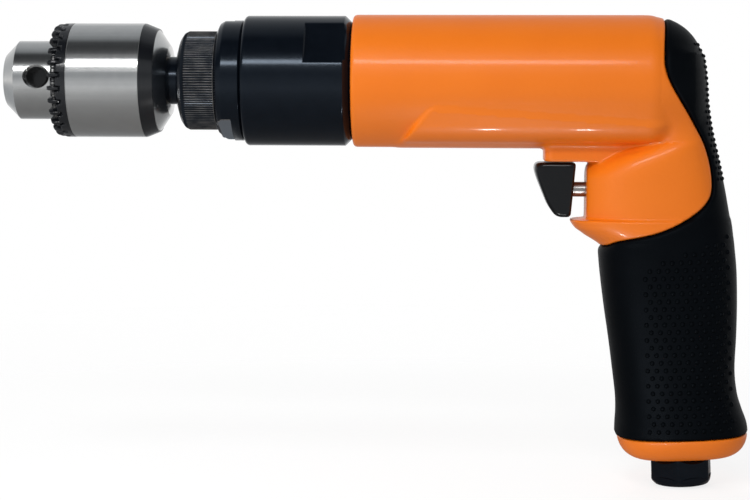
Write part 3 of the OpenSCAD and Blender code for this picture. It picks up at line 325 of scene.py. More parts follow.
def power_distance(a, ra, b, rb, n=SECTION_POWER):
    """Distance to a rounded oval with half axes ra and rb."""
    pa, pb = np.abs(a) / ra, np.abs(b) / rb
    s = (pa ** n + pb ** n) ** (1 / n)
    safe = np.maximum(s, 0.05)
    slope = np.sqrt((pa ** (n - 1) / ra) ** 2 + (pb ** (n - 1) / rb) ** 2) * safe ** (1 - n)
    return (s - 1) / np.maximum(slope, 0.02)


def grip_axes(x, z):
    """Distance behind the grip axis and drop along it."""
    u = (x - GRIP_X) * math.cos(RAKE) + z * math.sin(RAKE)
    w = (x - GRIP_X) * math.sin(RAKE) - z * math.cos(RAKE)
    return u, w


def barrel_field(x, y, z):
    """Barrel with its round back."""
    r = np.sqrt(y ** 2 + z ** 2)
    plain = r - BARREL_R
    dome = power_distance(np.maximum(x - BARREL_END, 0), DOME_LEN, r, BARREL_R)
    return np.where(x > BARREL_END, dome, plain)


def grip_field(x, y, z):
    """Grip through its sections."""
    u, w = grip_axes(x, z)
    front, back, half = (np.interp(w, DENSE_SECTIONS[:, 0], DENSE_SECTIONS[:, k]) for k in (1, 2, 3))
    return power_distance(u - (back - front) / 2, (front + back) / 2, y, half)


def handle_field(x, y, z):
    """Grip with a round nose behind the trigger and a lip below it."""
    grip = np.maximum(grip_field(x, y, z), GRIP_SECTIONS[0][0] - grip_axes(x, z)[1])
    lean = NOSE_LEAN * np.clip(z + NOSE_BEND, 0, NOSE_RISE) ** 2
    nose = power_distance(np.minimum(x - GRIP_X + NOSE_BACK - lean, 0), NOSE_LEN, y, NOSE_HALF_W, 2)
    return soft_min(soft_max(grip, nose, NOSE_ROUND), soft_max(grip, z + LIP_DROP, LIP_ROUND), LIP_ROUND)


def form_field(x, y, z):
    """Outside of barrel and grip together."""
    return soft_min(barrel_field(x, y, z), handle_field(x, y, z), np.interp(x, BLEND_X, BLEND_W))


def belly_field(x, y, z):
    """Barrel with flat flanks and a flatter floor, behind a sloping front."""
    wide = np.abs(y)
    below = -z * math.cos(BELLY_LEAN) - wide * math.sin(BELLY_LEAN)
    crease = BELLY_FALL * np.maximum(x - CREASE_START, 0)
    proud = BELLY_PROUD * np.clip((below - crease) / BELLY_RISE, 0, 1)
    flank = wide * math.cos(BELLY_LEAN) - z * math.sin(BELLY_LEAN) - BARREL_R - proud
    section = np.where(below < 0, np.sqrt(y ** 2 + z ** 2) - BARREL_R, flank)
    sink = math.atan2(BARREL_R - BELLY_KEEL - BELLY_DROP, BELLY_LOW_W)
    floor = (wide - BELLY_LOW_W) * math.sin(sink) - (z + BELLY_DROP) * math.cos(sink)
    front = -(x - BELLY_FRONT) * math.cos(BELLY_SLOPE) + (z + BARREL_R) * math.sin(BELLY_SLOPE)
    back = (x - BELLY_END) * END_SLOPE
    return soft_max(soft_max(soft_max(section, floor, KEEL_ROUND), front, FRONT_ROUND), back, END_ROUND)


def lug_field(x, y, z):
    """Narrow block under the barrel that covers the top of the trigger."""
    sides = soft_max(LUG_FRONT - x, np.abs(y) - LUG_HALF_W, LUG_ROUND)
    block = soft_max(sides, -LEDGE_DROP - z, SMALL_EDGE)
    return np.maximum(block, np.maximum(x - LUG_BACK, z + LUG_TOP))


def rubber_zone(x, z):
    """Distance to the edge of the rubber, below zero where there is rubber."""
    x, z = np.broadcast_arrays(x, z)
    best = np.full(x.shape, 1e9)
    for (ax, az), (bx, bz) in zip(DENSE_EDGE, DENSE_EDGE[1:]):
        dx, dz = bx - ax, bz - az
        t = np.clip(((x - ax) * dx + (z - az) * dz) / (dx * dx + dz * dz), 0, 1)
        px, pz = x - ax - t * dx, z - az - t * dz
        near = px * px + pz * pz
        side = np.where(px * dz - pz * dx > 0, 1.0, -1.0)
        best = np.where(near < np.abs(best), side * near, best)
    return np.sign(best) * np.sqrt(np.abs(best))


def tube_field(x, y, z, r, x0, x1, drop=0.0):
    """Bar along the spindle direction."""
    return np.maximum(np.sqrt(y ** 2 + (z + drop) ** 2) - r, np.maximum(x0 - x, x - x1))


def grip_tube_field(x, y, z, r, top, bottom):
    """Bar along the grip axis."""
    u, w = grip_axes(x, z)
    return np.maximum(np.sqrt(u ** 2 + y ** 2) - r, np.maximum(top - w, w - bottom))


def notch_field(x, y, z):
    """Room for the trigger."""
    high = soft_max(z + LEDGE_DROP, -LIP_DROP - z, NOTCH_ROUND)
    return soft_max(x - FACE_X, high, SMALL_EDGE)


def bores_field(x, y, z):
    """Bores for the motor, the valve and the air."""
    bores = [tube_field(x, y, z, *bore) for bore in MOTOR_BORES]
    bores += [tube_field(x, y, z, *bore, VALVE_DROP) for bore in VALVE_BORES]
    bores += [grip_tube_field(x, y, z, *bore) for bore in FEED_BORES]
    return functools.reduce(np.minimum, bores)


def casting_field(x, y, z):
    """Orange casting: barrel, belly and the handle down to the rubber, with a core under the rubber."""
    form = form_field(x, y, z)
    zone = rubber_zone(x, z)
    under = np.clip(BLEND_FALL * (-z - BELLY_TOP), *BLEND_LIMITS)
    shown = soft_min(form, belly_field(x, y, z), under)
    shown = soft_min(shown, lug_field(x, y, z), LUG_BLEND)
    shown = soft_max(shown, CASTING_GAP - zone, CAST_EDGE)
    shown = soft_max(shown, -notch_field(x, y, z), CAST_EDGE)
    mouth = soft_max(shown, HOUSING_X - x, MOUTH_EDGE)
    w = grip_axes(x, z)[1]
    core = np.maximum(form + RUBBER_T, w - GRIP_LEN)
    core = np.maximum(core, -notch_field(x, y, z))
    body = np.minimum(mouth, np.maximum(core, CORE_START - x))
    return np.maximum(body, -bores_field(x, y, z))


def rubber_field(x, y, z):
    """Rubber over the handle, a little proud of the casting, with a rolled edge."""
    form = form_field(x, y, z)
    w = grip_axes(x, z)[1]
    skin = soft_max(form - PROUD, rubber_zone(x, z) + RUBBER_GAP, RUBBER_ROLL)
    skin = soft_max(skin, w - GRIP_LEN, SMALL_EDGE)
    return np.maximum(skin, -(form + RUBBER_T - CASTING_GAP))


# Materials

SOFT = 0.00004
LINE_DEPTH = 0.000006
COOL = (0.7, 0.83, 1, 1)
GROUND_A, GROUND_B = (0.56, 0.56, 0.55), (0.64, 0.64, 0.63)
GROUND_ROUGH = (0.14, 0.24)

# Places of the masks: wrench flats of the lock ring, painted shade in the key holes of the chuck, bevel of
# the chuck sleeve
LOCK_FLAT_ANGLE = 340
LOCK_FLAT_DEPTH = 2.5
LOCK_FLAT_LEN = 5
NOSE_R = 12.4
HOLE_X = 11.3
HOLE_HALF = 3.6
HOLE_LIP = 1.2
SLEEVE_BEVEL = 4.3


def new_material(name):
    """New material, with its node tree and its shader."""
    mat = bpy.data.materials.new(name)
    mat.use_nodes = True
    tree = mat.node_tree
    return mat, tree, tree.nodes["Principled BSDF"]


def set_inputs(tree, made, inputs):
    """Sets the inputs of a node: values, or sockets to link."""
    for key, value in inputs.items():
        if isinstance(value, bpy.types.NodeSocket):
            tree.links.new(value, made.inputs[key])
        else:
            made.inputs[key].default_value = value


def node(tree, kind, inputs=None, **settings):
    """New node with its settings and its inputs."""
    made = tree.nodes.new("ShaderNode" + kind)
    for key, value in settings.items():
        setattr(made, key, value)
    set_inputs(tree, made, inputs or {})
    return made


def place_of(tree):
    """Place on the object, in metres."""
    return node(tree, "TexCoord").outputs["Object"]


def noise(tree, scale, detail=3, stretch=(1, 1, 1)):
    """Noise from 0 to 1, with a number of waves in a metre."""
    where = node(tree, "Mapping", {"Vector": place_of(tree), "Scale": stretch})
    return node(tree, "TexNoise", {"Vector": where.outputs[0], "Scale": scale, "Detail": detail}).outputs[0]


def between(tree, value, low, high, start=0.0, end=1.0):
    """Value spread over a range."""
    return node(tree, "MapRange", {"Value": value, "From Min": start, "From Max": end,
                                   "To Min": low, "To Max": high}).outputs[0]


def mixed(tree, value, a, b):
    """Colour between a and b, which are sockets or three values each."""
    a, b = (colour if isinstance(colour, bpy.types.NodeSocket) else (*colour, 1) for colour in (a, b))
    return node(tree, "Mix", {"Factor": value, 6: a, 7: b}, data_type="RGBA").outputs[2]


def bump(tree, height, depth):
    """Bump from a height of 0 to 1 and a depth in metres."""
    return node(tree, "Bump", {"Height": height, "Distance": depth, "Strength": 1.0}).outputs[0]


def finish_material(tree, shader, colour, rough, normal, **values):
    """Sets the shader: colour, roughness and normal, and the rest by name with _ for a space."""
    set_inputs(tree, shader, {"Base Color": colour, "Roughness": rough, "Normal": normal})
    set_inputs(tree, shader, {key.replace("_", " "): value for key, value in values.items()})


def enamel(name):
    """Thick glossy enamel with a faint orange peel."""
    mat, tree, shader = new_material(name)
    cloud = noise(tree, 60, 4)
    colour = mixed(tree, cloud, (0.88, 0.188, 0.0055), (0.94, 0.211, 0.0082))
    rough = between(tree, noise(tree, 400), 0.36, 0.48)
    peel = bump(tree, noise(tree, 700, 2), 0.00005)
    finish_material(tree, shader, colour, rough, peel, Coat_Weight=0.2, Coat_Roughness=0.1,
                    Coat_IOR=1.5, Specular_IOR_Level=0.32)
    return mat


def rubber(name):
    """Matt moulded rubber with a fine grain."""
    mat, tree, shader = new_material(name)
    colour = mixed(tree, noise(tree, 150, 4), (0.0010, 0.0014, 0.0020), (0.0020, 0.0027, 0.0037))
    rough = between(tree, noise(tree, 900), 0.42, 0.56)
    grain = bump(tree, noise(tree, 4200, 2), 0.00002)
    finish_material(tree, shader, colour, rough, grain, IOR=1.14, Specular_Tint=COOL)
    return mat


def turning_lines(tree, per_metre):
    """Fine lines left by turning about the spindle."""
    return noise(tree, per_metre, 2, (1, 0.002, 0.002))


def steps_between(tree, value, edges):
    """One between two edges of a value, and zero outside, with a short ramp at each edge."""
    rise = between(tree, value, 0, 1, edges[0] - SOFT, edges[0] + SOFT)
    fall = between(tree, value, 1, 0, edges[1] - SOFT, edges[1] + SOFT)
    return both(tree, rise, fall)


def far_from_axis(tree):
    """Distance from the spindle axis, in metres."""
    flat = node(tree, "VectorMath", {0: place_of(tree), 1: (0, 1, 1)}, operation="MULTIPLY").outputs[0]
    return node(tree, "VectorMath", {0: flat}, operation="LENGTH").outputs["Value"]


def along_axis(tree):
    """Place along the spindle axis, in metres."""
    return node(tree, "SeparateXYZ", {"Vector": place_of(tree)}).outputs[0]


def both(tree, a, b):
    """Product of two masks."""
    return node(tree, "Math", {0: a, 1: b}, operation="MULTIPLY").outputs[0]


def blackened(name, bare=None):
    """Black oxide on turned steel with a film of oil. Bare makes a mask of the places rubbed to the metal."""
    mat, tree, shader = new_material(name)
    colour = mixed(tree, noise(tree, 220, 5), (0.0016, 0.0026, 0.0046), (0.004, 0.006, 0.0098))
    rough = between(tree, noise(tree, 500), 0.11, 0.2)
    if bare is not None:
        rubbed = bare(tree)
        colour = mixed(tree, rubbed, colour, (0.39, 0.37, 0.35))
        tree.links.new(rubbed, shader.inputs["Metallic"])
    lines = bump(tree, turning_lines(tree, 2600), LINE_DEPTH)
    finish_material(tree, shader, colour, rough, lines, Specular_IOR_Level=0.3, Specular_Tint=COOL)
    return mat


def lock_flats(tree):
    """Mask of the two wrench flats of the lock ring."""
    way = math.radians(LOCK_FLAT_ANGLE)
    facing = node(tree, "VectorMath", {0: place_of(tree), 1: (0, math.sin(way), -math.cos(way))},
                  operation="DOT_PRODUCT").outputs["Value"]
    out = node(tree, "Math", {0: facing}, operation="ABSOLUTE").outputs[0]
    on_flat = steps_between(tree, out, ((LOCK_R - LOCK_FLAT_DEPTH - 0.1) * MM, 1))
    ends = ((LOCK_X + 0.8) * MM, (LOCK_X + LOCK_FLAT_LEN - 0.1) * MM)
    return both(tree, on_flat, steps_between(tree, along_axis(tree), ends))


def knurl_tops(tree):
    """Mask of the rubbed tops of the knurl."""
    high = between(tree, far_from_axis(tree), 0, 1, (CAP_R - 0.2) * MM, (CAP_R - 0.02) * MM)
    inside = steps_between(tree, along_axis(tree), ((CAP_X + 3) * MM, (LOCK_X - 0.4) * MM))
    patchy = between(tree, noise(tree, 300, 4), 0.08, 0.42, 0.35, 0.7)
    return both(tree, both(tree, high, inside), patchy)


def steel_with_hole_shade(name):
    """Ground chuck body, with painted shade darkening the inside of its key holes."""
    mat, tree, shader = new_material(name)
    inside = steps_between(tree, far_from_axis(tree), (0.0, (NOSE_R - HOLE_LIP) * MM))
    ends = ((HOLE_X - HOLE_HALF) * MM, (HOLE_X + HOLE_HALF) * MM)
    painted_hole_shade = both(tree, inside, steps_between(tree, along_axis(tree), ends))
    ground = mixed(tree, noise(tree, 300, 4), GROUND_A, GROUND_B)
    # Painted shade: inside the key holes the steel is coloured near black
    colour = mixed(tree, painted_hole_shade, ground, (0.05, 0.05, 0.05))
    lines = turning_lines(tree, 3000)
    finish_material(tree, shader, colour, between(tree, lines, *GROUND_ROUGH), bump(tree, lines, LINE_DEPTH),
                    Metallic=1.0)
    return mat


def steel(name, colour_a, colour_b, rough_range):
    """Bare metal with fine turned or ground lines."""
    mat, tree, shader = new_material(name)
    colour = mixed(tree, noise(tree, 300, 4), colour_a, colour_b)
    lines = turning_lines(tree, 3000)
    rough = between(tree, lines, *rough_range)
    finish_material(tree, shader, colour, rough, bump(tree, lines, LINE_DEPTH), Metallic=1.0)
    return mat


def two_tone_sleeve(name):
    """Ground sleeve with a blackened tooth ring in front and a blackened bevel behind."""
    mat, tree, shader = new_material(name)
    x = along_axis(tree)
    bevel_x = SLEEVE_BACK - SLEEVE_BEVEL
    front = between(tree, x, 0, 1, (RING_END + 0.05) * MM, (RING_END + 0.2) * MM)
    back = between(tree, x, 1, 0, (bevel_x - 0.1) * MM, bevel_x * MM)
    bright = both(tree, front, back)
    black = mixed(tree, noise(tree, 300, 4), (0.003, 0.0036, 0.005), (0.007, 0.008, 0.0105))
    ground = mixed(tree, noise(tree, 300, 4), GROUND_A, GROUND_B)
    lines = turning_lines(tree, 3400)
    rough = between(tree, lines, 0.14, 0.25)
    finish_material(tree, shader, mixed(tree, bright, black, ground), rough, bump(tree, lines, LINE_DEPTH),
                    Specular_IOR_Level=0.6)
    tree.links.new(bright, shader.inputs["Metallic"])
    return mat


def plastic(name, colour_a, colour_b, rough_range, coat, shine=0.5):
    """Moulded plastic or resin."""
    mat, tree, shader = new_material(name)
    colour = mixed(tree, noise(tree, 250, 3), colour_a, colour_b)
    rough = between(tree, noise(tree, 700), *rough_range)
    skin = bump(tree, noise(tree, 1800, 2), 0.000008)
    finish_material(tree, shader, colour, rough, skin, Coat_Weight=coat, Coat_Roughness=0.1,
                    Specular_IOR_Level=shine)
    return mat


def felt_cloth(name):
    """Pressed felt."""
    mat, tree, shader = new_material(name)
    colour = mixed(tree, noise(tree, 900, 5), (0.30, 0.27, 0.22), (0.46, 0.42, 0.36))
    fibres = bump(tree, noise(tree, 3500, 4), 0.0001)
    finish_material(tree, shader, colour, 0.95, fibres, Sheen_Weight=0.3)
    return mat


MATERIALS = {
    "orange_enamel": enamel("orange_enamel"),
    "grip_rubber": rubber("grip_rubber"),
    "black_oxide": blackened("black_oxide"),
    "trigger_black": plastic("trigger_black", (0.0015, 0.0018, 0.0024), (0.003, 0.0035, 0.0045), (0.2, 0.3),
                             0.2, 0.22),
    "ground_steel": steel("ground_steel", GROUND_A, GROUND_B, GROUND_ROUGH),
    "sleeve_steel": two_tone_sleeve("sleeve_steel"),
    "tool_steel": steel("tool_steel", (0.30, 0.29, 0.28), (0.42, 0.41, 0.40), (0.25, 0.40)),
    "bearing_steel": steel("bearing_steel", (0.62, 0.62, 0.62), (0.70, 0.70, 0.70), (0.10, 0.18)),
    "brass": steel("brass", (0.62, 0.42, 0.14), (0.72, 0.50, 0.18), (0.22, 0.34)),
    "seal_rubber": rubber("seal_rubber"),
    "vane_resin": plastic("vane_resin", (0.16, 0.07, 0.03), (0.24, 0.11, 0.05), (0.40, 0.55), 0.0),
    "felt": felt_cloth("felt"),
}

# Each CAD node comes with a material named as its slot
SLOT_OF = {name: obj.material_slots[0].material.name.split(".")[0] for name, obj in NODES.items()}
for name, obj in NODES.items():
    obj.data.materials.clear()
    obj.data.materials.append(MATERIALS[SLOT_OF[name]])
NODES["chuck_body"].data.materials[0] = steel_with_hole_shade("steel_with_hole_shade")


def dress(obj, body, slot, *nodes):
    """Gives a piece its material, its body and the CAD nodes that it stands for."""
    obj.data.materials.append(MATERIALS[slot])
    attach(obj, body)
    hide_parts(*nodes)


# Casting, rubber grip and base cap

CASTING_ROOM = (HOUSING_X - 1.5, -22.5, -113), (GRIP_X + 24, 22.5, 22.5)
CASTING_STEP = 0.6

casting = shell("casting", casting_field, *CASTING_ROOM, CASTING_STEP)
dress(casting, "housing", "orange_enamel", "pistol_housing")

# Dots on the sides: places behind and down the grip axis, with a sloping upper end
DOT_PITCH = 2.75
DOT_R = 0.78
DOT_H = 0.55
SIDE_LIMITS = (-11, 15, 46, 108)
SIDE_TOP = 57
SIDE_SLOPE = 0.33

# Finer dots on the upper back: places across and up
FINE_PITCH = 2.0
FINE_R = 0.6
FINE_H = 0.38
BACK_LIMITS = (-9, 9, -30, 13)

# Rings of a dot: parts of its radius and of its height, and the lean of the surface in degrees
DOT_RINGS = [(1.0, -0.3, 20), (0.92, 0.35, 35), (0.55, 0.85, 62)]

GRIP_ROOM = (GRIP_X - 32, -22.5, -113.5), (GRIP_X + 29, 22.5, 22.5)
GRIP_STEP = 0.8


def settle(places, axis, near, far):
    """Moves points along an axis, between a place inside and one outside, onto the rubber."""
    inside, outside = np.full(len(places), near), np.full(len(places), far)
    for _ in range(40):
        middle = (inside + outside) / 2
        trial = places.copy()
        trial[:, axis] = middle
        solid = form_field(*trial.T) < PROUD
        inside, outside = np.where(solid, middle, inside), np.where(solid, outside, middle)
    result = places.copy()
    result[:, axis] = inside
    return result


def staggered(u0, u1, v0, v1, pitch):
    """Staggered rows of places between two pairs of limits."""
    rows = np.arange(v0, v1, pitch * math.sqrt(3) / 2)
    return np.array([(u + pitch / 2 * (k % 2), v) for k, v in enumerate(rows)
                     for u in np.arange(u0, u1, pitch)])


def side_dots():
    """Dots on both sides of the grip."""
    side = staggered(*SIDE_LIMITS, DOT_PITCH)
    side = side[side[:, 1] > SIDE_TOP - SIDE_SLOPE * (side[:, 0] - SIDE_LIMITS[0])]
    near = settle(grip_place(side[:, 1], 0 * side[:, 0], -side[:, 0]), 1, 0.0, GRIP_ROOM[0][1])
    return np.vstack([near, near * (1, -1, 1)])


def back_dots():
    """Finer dots along the upper back."""
    back = staggered(*BACK_LIMITS, FINE_PITCH)
    return settle(np.stack([0 * back[:, 0], back[:, 0], back[:, 1]], 1), 0, GRIP_X, GRIP_ROOM[1][0])


def dome_mesh(places, radius, height, sides=10):
    """Small domes on the rubber, as points, faces and normals."""
    normals = slope_of(form_field, places)
    normals /= np.linalg.norm(normals, axis=1)[:, None]
    tangent = np.cross(normals, (0.2, 0.1, 0.97))
    tangent /= np.linalg.norm(tangent, axis=1)[:, None]
    other = np.cross(normals, tangent)
    points, faces, ways = [], [], []
    turn = np.linspace(0, 2 * math.pi, sides, endpoint=False)
    for place, n, t, o in zip(places, normals, tangent, other):
        first = len(points)
        round_way = np.cos(turn)[:, None] * t + np.sin(turn)[:, None] * o
        for wide, high, lean in DOT_RINGS:
            points.extend(place + radius * wide * round_way + height * high * n)
            ways.extend(math.cos(math.radians(lean)) * round_way + math.sin(math.radians(lean)) * n)
        for ring in range(len(DOT_RINGS) - 1):
            a = first + ring * sides
            b = a + sides
            faces.extend([a + k, a + (k + 1) % sides, b + (k + 1) % sides, b + k] for k in range(sides))
        top = first + (len(DOT_RINGS) - 1) * sides
        points.append(place + height * n)
        ways.append(n)
        faces.extend([top + k, top + (k + 1) % sides, top + sides] for k in range(sides))
        faces.append([first + sides - 1 - k for k in range(sides)])
    return np.array(points), faces, np.array(ways)


def joined(parts):
    """Several sets of points, faces and normals as one."""
    faces, first = [], 0
    for points, part_faces, _ in parts:
        faces.extend([k + first for k in face] for face in part_faces)
        first += len(points)
    return np.vstack([p[0] for p in parts]), faces, np.vstack([p[2] for p in parts])


grip_points, grip_faces, grip_normals = shell_data(rubber_field, *GRIP_ROOM, GRIP_STEP)
grip_parts = [(grip_points, grip_faces.tolist(), grip_normals),
              dome_mesh(side_dots(), DOT_R, DOT_H), dome_mesh(back_dots(), FINE_R, FINE_H)]
grip = add_mesh("rubber_grip", *joined(grip_parts))
dress(grip, "housing", "grip_rubber", "grip_sleeve")

BASE_TOP = GRIP_LEN + 0.2
BASE_BOTTOM = BASE_TOP + 7.3
BASE_HALF_LEN = 20.4
BASE_HALF_W = 17.2
BASE_SHIFT = 0.4
BASE_BEVEL = 4.2
BOSS_R = 10.05
SHANK_R = 8.0
ROOM_WALL = 3
ROOM_HEIGHT = 4.7
VENT_ANGLES = (-40, -15, 15, 40, 140, 165, 195, 220)
VENT_AWAY = BOSS_R + 2.6
VENT_R = 1.2


def base_field(x, y, z):
    """Base cap with a rounded lower edge, vents, the bore of the inlet and its muffler room."""
    u, w = grip_axes(x, z)
    wall = power_distance(u - BASE_SHIFT, BASE_HALF_LEN, y, BASE_HALF_W)
    slab = soft_max(wall, BASE_TOP - w, SMALL_EDGE)
    bevel = (wall + w - BASE_BOTTOM + BASE_BEVEL) / math.sqrt(2)
    cap = soft_max(soft_max(slab, w - BASE_BOTTOM, 1.2), bevel, 2.4)
    middle = np.sqrt(u ** 2 + y ** 2)
    cap = soft_max(cap, SHANK_R + 0.05 - middle, 0.5)
    room = np.maximum(np.maximum(wall + ROOM_WALL, w - BASE_TOP - ROOM_HEIGHT), BOSS_R - middle)
    for angle in VENT_ANGLES:
        vent_u = VENT_AWAY * math.cos(math.radians(angle))
        vent_y = VENT_AWAY * math.sin(math.radians(angle))
        room = np.minimum(room, np.sqrt((u - vent_u) ** 2 + (y - vent_y) ** 2) - VENT_R)
    return soft_max(cap, -room, 0.4)


BASE_ROOM = (GRIP_X - 20, -18.5, -120), (GRIP_X + 28, 18.5, -108.5)
BASE_STEP = 0.4

base_cap = shell("base_cap", base_field, *BASE_ROOM, BASE_STEP)
dress(base_cap, "housing", "orange_enamel", "exhaust_cap")

# Trigger: flat sides of its outline as a point before the back edge, a drop, and the way out
TRIGGER_BACK = FACE_X - 4.7
TRIGGER_TOP = LEDGE_DROP + 0.08
TRIGGER_LOW = LIP_DROP - 0.6
TRIGGER_LEN = 12
TRIGGER_HALF_W = 7.5
TRIGGER_CORNER = 4.0
TRIGGER_SIDES = [
    (0, TRIGGER_TOP, 0, -1), (TRIGGER_LEN + 0.5, TRIGGER_TOP + 1.8, 0.78, -0.63),
    (TRIGGER_LEN, TRIGGER_TOP + 2, 0.925, 0.38), (6, TRIGGER_LOW - 1.6, 0.707, 0.707),
    (0, TRIGGER_LOW, 0, 1), (-0.65, TRIGGER_LOW - 8, -0.996, 0.091)]
TRIGGER_EDGE = 1.3
TRIGGER_SIDE_EDGE = 1.6
TRIGGER_ROOM = (TRIGGER_BACK - 13, -8.5, -44), (TRIGGER_BACK + 3, 8.5, -24.5)
TRIGGER_STEP = 0.3


def trigger_field(x, y, z):
    """Wedge that narrows downwards, with round front corners."""
    ahead, drop = TRIGGER_BACK - x, -z
    side = -FAR_AWAY
    for a, d, na, nd in TRIGGER_SIDES:
        side = soft_max(side, (ahead - a) * na + (drop - d) * nd, TRIGGER_EDGE)
    fore = np.maximum(ahead - TRIGGER_LEN + TRIGGER_CORNER, 0)
    across = np.maximum(np.abs(y) - TRIGGER_HALF_W + TRIGGER_CORNER, 0)
    return soft_max(side, np.sqrt(fore ** 2 + across ** 2) - TRIGGER_CORNER, TRIGGER_SIDE_EDGE)


trigger = shell("trigger_wedge", trigger_field, *TRIGGER_ROOM, TRIGGER_STEP)
dress(trigger, "trigger", "trigger_black", "trigger")


# Turned pieces


def near_flat(angles, angle):
    """Cosine of the angle from the nearer of two opposite flats."""
    return np.maximum(np.cos(np.radians(angles - angle)), np.cos(np.radians(angles - angle - 180)))


def flats(x0, x1, half, angle):
    """Limit of the radius at two opposite flats, at half their distance from the axis, between x0 and x1."""
    def limit(x, angles):
        facing = np.maximum(near_flat(angles, angle), 0.3)
        return np.where((x > x0) & (x < x1), half / facing, FAR_AWAY)
    return limit


def with_rows(outline, rows):
    """Adds points to the long lines of an outline at x values."""
    result = []
    for a, b in zip(outline, np.roll(outline, -1, 0)):
        result.append(a)
        inside = [x for x in rows if min(a[0], b[0]) + 0.01 < x < max(a[0], b[0]) - 0.01]
        for x in sorted(inside, reverse=bool(b[0] < a[0])):
            t = (x - a[0]) / (b[0] - a[0])
            result.append(a + (b - a) * t)
    return np.array(result)


# Roundings of outside edges and inside corners, angles round a piece, half width of the step that ends a flat
EDGE = 0.15
INNER = 0.05
AROUND = np.arange(0, 360, 0.75)
FLAT_STEP = 0.04

# Gear case: nose in the bearing cap, neck in the lock ring, body with two flats, spigot in the housing
CASE_FRONT = 57.2
CASE_NOSE_R = 13.05
CASE_NECK_R = 15.05
CASE_BEVEL = 2.5
SPIGOT_R = 18.39
FLAT_X0, FLAT_X1 = HOUSING_X - 14.6, HOUSING_X - 1.6
CASE_FLAT_DEPTH = 1.55
CASE_FLAT_ANGLE = 231.4

# Steps of its bore from the back: radius, and the place where it ends
CASE_BORES = [(17.04, 81.9), (14.45, 77.9), (12, 71.9), (9.5, 63.2)]
CASE_FRONT_BORE_R = 11

case_corners = [
    (CASE_FRONT, CASE_FRONT_BORE_R, EDGE), (CASE_FRONT, CASE_NOSE_R, EDGE), (LOCK_X, CASE_NOSE_R, INNER),
    (LOCK_X, CASE_NECK_R, EDGE), (CASE_X, CASE_NECK_R, INNER), (CASE_X, CASE_R, 1.1),
    (HOUSING_X - CASE_BEVEL, CASE_R, 0.5), (HOUSING_X, CASE_R - CASE_BEVEL, 0.3),
    (HOUSING_X, SPIGOT_R, INNER), (SPIGOT_BACK, SPIGOT_R, EDGE)]
bore_start = SPIGOT_BACK
for bore_r, bore_end in CASE_BORES:
    case_corners.append((bore_start, bore_r, EDGE))
    case_corners.append((bore_end, bore_r, EDGE if bore_r < CASE_FRONT_BORE_R else INNER))
    bore_start = bore_end
case_corners.append((bore_start, CASE_FRONT_BORE_R, INNER))
case_rows = [80, 86, 96, 100, 104, FLAT_X0 - FLAT_STEP, FLAT_X0 + FLAT_STEP,
             FLAT_X1 - FLAT_STEP, FLAT_X1 + FLAT_STEP]
case_outline = with_rows(rounded(case_corners), case_rows)
gear_case = turned("gear_case_shell", case_outline, AROUND,
                   limit=flats(FLAT_X0, FLAT_X1, CASE_R - CASE_FLAT_DEPTH, CASE_FLAT_ANGLE))
dress(gear_case, "housing", "black_oxide", "gear_case")

# Lock ring: rounded front edge, small bevel behind
LOCK_BORE_R = 15.1
LOCK_BEVEL = 0.6
LOCK_FLAT_END = LOCK_X + LOCK_FLAT_LEN

lock_outline = rounded([
    (LOCK_X, LOCK_BORE_R, EDGE), (LOCK_X, LOCK_R - 2.4, 0.4), (LOCK_X + 0.7, LOCK_R - 0.9, 0.8),
    (LOCK_X + 2.2, LOCK_R, 1.2), (LOCK_BACK - LOCK_BEVEL, LOCK_R, 0.3), (LOCK_BACK, LOCK_R - LOCK_BEVEL, 0.2),
    (LOCK_BACK, LOCK_BORE_R, EDGE)])
lock_rows = [LOCK_X + 3, LOCK_X + 4, LOCK_X + 4.9, LOCK_FLAT_END - FLAT_STEP, LOCK_FLAT_END + FLAT_STEP]
lock_ring = turned("lock_ring_shell", with_rows(lock_outline, lock_rows), AROUND,
                   limit=flats(LOCK_X - 1, LOCK_FLAT_END, LOCK_R - LOCK_FLAT_DEPTH, LOCK_FLAT_ANGLE))
dress(lock_ring, "housing", "black_oxide", "lock_ring")
lock_ring.data.materials[0] = blackened("lock_ring_black", lock_flats)

# Bearing cap: stepped round front, knurl, bore over the gear case, room of the seal
CAP_HOLE_R = 8
CAP_BORE_R = 13.1
CAP_BEVEL = 0.4
SEAL_X = 55
SEAL_R = 9.65
KNURLS = 120
KNURL_DEPTH = 0.36
KNURL_POINTS = 6


def knurl(x, r, angles):
    """Straight ridges round the bearing cap."""
    wave = np.abs(((angles * KNURLS / 360) % 1) * 2 - 1)
    there = np.clip((x - CAP_X - 1.7) / 0.8, 0, 1) * np.clip((LOCK_X - 0.5 - x) / 0.3, 0, 1)
    return np.where(r > CAP_R - 2, -KNURL_DEPTH * np.clip(wave * 1.5 - 0.25, 0, 1) * there, 0)


cap_outline = rounded([
    (CAP_X, CAP_HOLE_R, EDGE), (CAP_X, 10.5, 0.8), (CAP_X + 0.9, CAP_R - 2.2, 0.8),
    (CAP_X + 2, CAP_R - 0.6, 1.0), (CAP_X + 3.2, CAP_R, 0.8),
    (LOCK_X - CAP_BEVEL, CAP_R, 0.2), (LOCK_X, CAP_R - CAP_BEVEL, 0.1),
    (LOCK_X, CAP_BORE_R, 0.1), (CASE_FRONT, CAP_BORE_R, INNER), (CASE_FRONT, SEAL_R, INNER),
    (SEAL_X, SEAL_R, INNER), (SEAL_X, CAP_HOLE_R, EDGE)])
cap_outline = with_rows(cap_outline, [58, 60, 62, 64, LOCK_X - 0.8, LOCK_X - 0.5])
knurl_angles = np.arange(0, 360, 360 / (KNURLS * KNURL_POINTS))
bearing_cap = turned("bearing_cap_shell", cap_outline, knurl_angles, knurl)
dress(bearing_cap, "housing", "black_oxide", "bearing_cap")
bearing_cap.data.materials[0] = blackened("knurl_black", knurl_tops)

